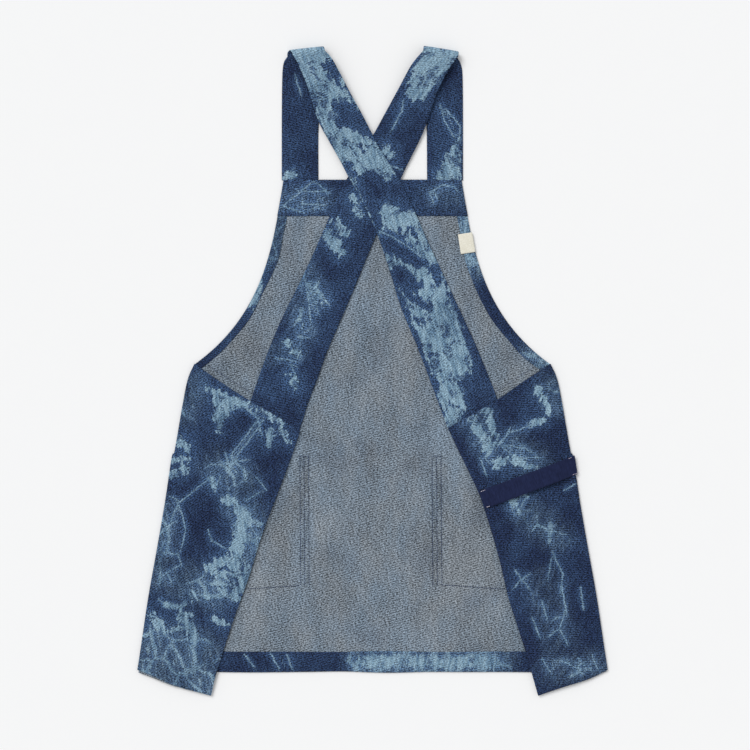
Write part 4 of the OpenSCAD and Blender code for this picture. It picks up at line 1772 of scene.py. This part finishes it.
@dataclass
class ToolLoop:
    """The tape on the right wing, sewn down at both ends with dense stitching."""

    maker: Maker

    def build(self) -> None:
        """Makes the tape and its bar tacks."""
        middle = (TAPE_LOW + TAPE_HIGH) / 2
        angle = math.radians(20.5)
        along = np.array((math.cos(angle), math.sin(angle)))
        up = np.array((-along[1], along[0]))
        u = np.linspace(-71, 71, 72) * MM
        v = np.linspace(-12.5, 12.5, 14) * MM
        skew = (1 - v / v[-1])[:, None, None] * smooth(u, 0.03, 0.071)[None, :, None] * 2.6 * MM
        grid = np.array((middle.x, middle.y)) + (u[None, :, None] - skew) * along + v[:, None, None] * up
        share = 1 - (u[None] / 0.071)**2
        bow = 4.6 * MM * smooth(share, 0.05, 0.8) + 0.8 * MM * np.sin(u[None] * 60) * share
        lean = -v[:, None] * 0.05 * share

        def height(x: Array, y: Array) -> Array:
            """Middle of the tape above the wing."""
            return Relief.wing(x, y) + 1.2 * MM + bow + lean
        flat = np.dstack(np.meshgrid(u, v))
        f = self.maker.finishes
        tape = Cloth("tool_loop_tape_cloth", lifted(grid, height), flat, 1.1 * MM, f.tape, f.tape)
        item = self.maker.put(tape.build(), WING_BODY[1], "navy_tape", "tool_loop_tape")
        rows = []
        for end in (-1, 1):
            for edge in (-1, 1):
                a = np.array((middle.x, middle.y)) + up * edge * 11.6 * MM
                path = np.array([a + along * end * 59 * MM, a + along * (end * 68 - 1.5) * MM])
                rows.append(row_on(Relief.wing, path, 2.1 * MM))
        tacks = self.maker.stitches.sew("tool_loop_tacks", rows, f.pale_thread, pitch=2.4 * MM,
                                        width=0.9 * MM, height=0.5 * MM, fill=0.75)
        self.maker.put(tacks, WING_BODY[1], "topstitch_thread", "tool_loop_bartacks")


OVER = StrapShape(
    side=-1, name="over_strap", roll=(-0.16, 1.0), cut=0.242,
    front=(((-126.4, 267.2), (-126.4, 350), (-125.8, 408), (-124, 430), (-118.5, 440)),
              ((-76.4, 267.2), (-75.8, 350), (-68.6, 444.8))),
    back=(((-110.5, 440.5), (-104, 430), (-97.5, 415), (-89, 393.4), (-75.5, 350), (-59.5, 320),
           (-45.5, 295.4),
              (-33, 271), (-21.7, 251.5), (-10.5, 229.6), (6.3, 193), (24.5, 140), (40, 90), (63, 34),
           (86, -26.6),
              (104.3, -76), (107, -84)),
             ((-66.6, 445.6), (-55.3, 432.6), (-31.5, 387.8), (-16, 360), (-2, 333), (10.5, 309.4),
           (25.6, 285),
              (38.5, 265), (48.8, 243.6), (60.9, 217), (77.7, 179.2), (109, 112), (140.7, 43.4),
           (156.5, 5.6),
              (173, -36), (177, -46))),
    heights=((446, 14.1), (436, 13.8), (410, 11.4), (370, 8.6), (335, 7.1), (300, 6.7), (240, 6.5),
           (205, 6.2),
                (180, 5.2), (150, 4.4), (100, 4.1), (0, 4.1), (-40, 3.7), (-90, 3.2)),
    marks=OVER_STRAP,
)
UNDER = StrapShape(
    side=1, name="under_strap", roll=(0.14, 1.0), cut=0.242,
    front=(((126, 267.2), (126, 350), (125.5, 410), (123.5, 428), (118.5, 438)),
              ((77, 267.2), (76, 350), (71, 446))),
    back=(((119, 438.5), (108.5, 425), (98.7, 408), (90.3, 390.6), (81.9, 367), (75, 346), (66, 324),
           (53, 298),
              (40, 271), (6.3, 194), (-25.9, 115.5), (-44.1, 72.8), (-64, 26.6), (-78, -12.6), (-89.5, -42),
              (-101.5, -80), (-104, -88)),
             ((71, 446), (54.5, 426), (38.5, 397), (22, 367), (0.7, 328.5), (-22, 291), (-44.1, 252.5),
           (-59, 217),
              (-72.1, 187), (-86.1, 155.4), (-102.9, 120), (-121.1, 84), (-139.3, 43), (-153.5, 5.6),
              (-168, -36), (-172.5, -47))),
    heights=((446, 13.9), (436, 13.5), (410, 10.4), (370, 6.6), (335, 4.7), (300, 4.2), (240, 4.1),
           (100, 4.1),
                (0, 4.1), (-40, 3.7), (-90, 3.2)),
    marks=UNDER_STRAP,
)


# ---------------------------------------------------------------- room


@dataclass(frozen=True)
class Room:
    """The floor, the lights and the camera."""

    centre: tuple[float, float] = (0.0035, -0.0056)
    distance: float = 2.6
    lens: float = 89.14

    def floor(self) -> None:
        """A large pale floor."""
        bpy.ops.mesh.primitive_plane_add(size=60, location=(0, 0, 0))
        plane = bpy.context.object
        plane.name = "floor"
        plane.data.materials.append(PaleFloor().material())

    def lights(self) -> None:
        """A wide soft light from the upper left over an even surround."""
        world = bpy.data.worlds.new("surround")
        bpy.context.scene.world = world
        world.use_nodes = True
        sky = world.node_tree.nodes["Background"]
        sky.inputs["Color"].default_value = (0.98, 0.99, 1.0, 1.0)
        sky.inputs["Strength"].default_value = 0.60
        lamp = bpy.data.lights.new("key", "SUN")
        lamp.energy, lamp.angle = 1.68, math.radians(34)
        item = bpy.data.objects.new("key", lamp)
        item.rotation_euler = (-Vector((-1.0, 1.15, 1.75))).to_track_quat("-Z", "Y").to_euler()
        bpy.context.scene.collection.objects.link(item)

    def camera(self) -> None:
        """A camera straight above."""
        data = bpy.data.cameras.new("camera")
        data.lens, data.sensor_width = self.lens, 36.0
        data.clip_end = 50
        item = bpy.data.objects.new("camera", data)
        item.location = (*self.centre, self.distance)
        bpy.context.scene.collection.objects.link(item)
        bpy.context.scene.camera = item
        bpy.context.scene.view_settings.view_transform = "Standard"


def main() -> None:
    """Builds the apron, the room and the camera."""
    logging.basicConfig(level=logging.INFO)
    maker = Maker(Finishes(), StitchMaker())
    FrontBody(maker).build()
    for side in (-1, 1):
        BackWing(maker, side).build()
    for shape in (OVER, UNDER):
        Strap(maker, shape).build()
    ToolLoop(maker).build()
    room = Room()
    room.floor()
    room.lights()
    room.camera()


if __name__ == "__main__":
    main()
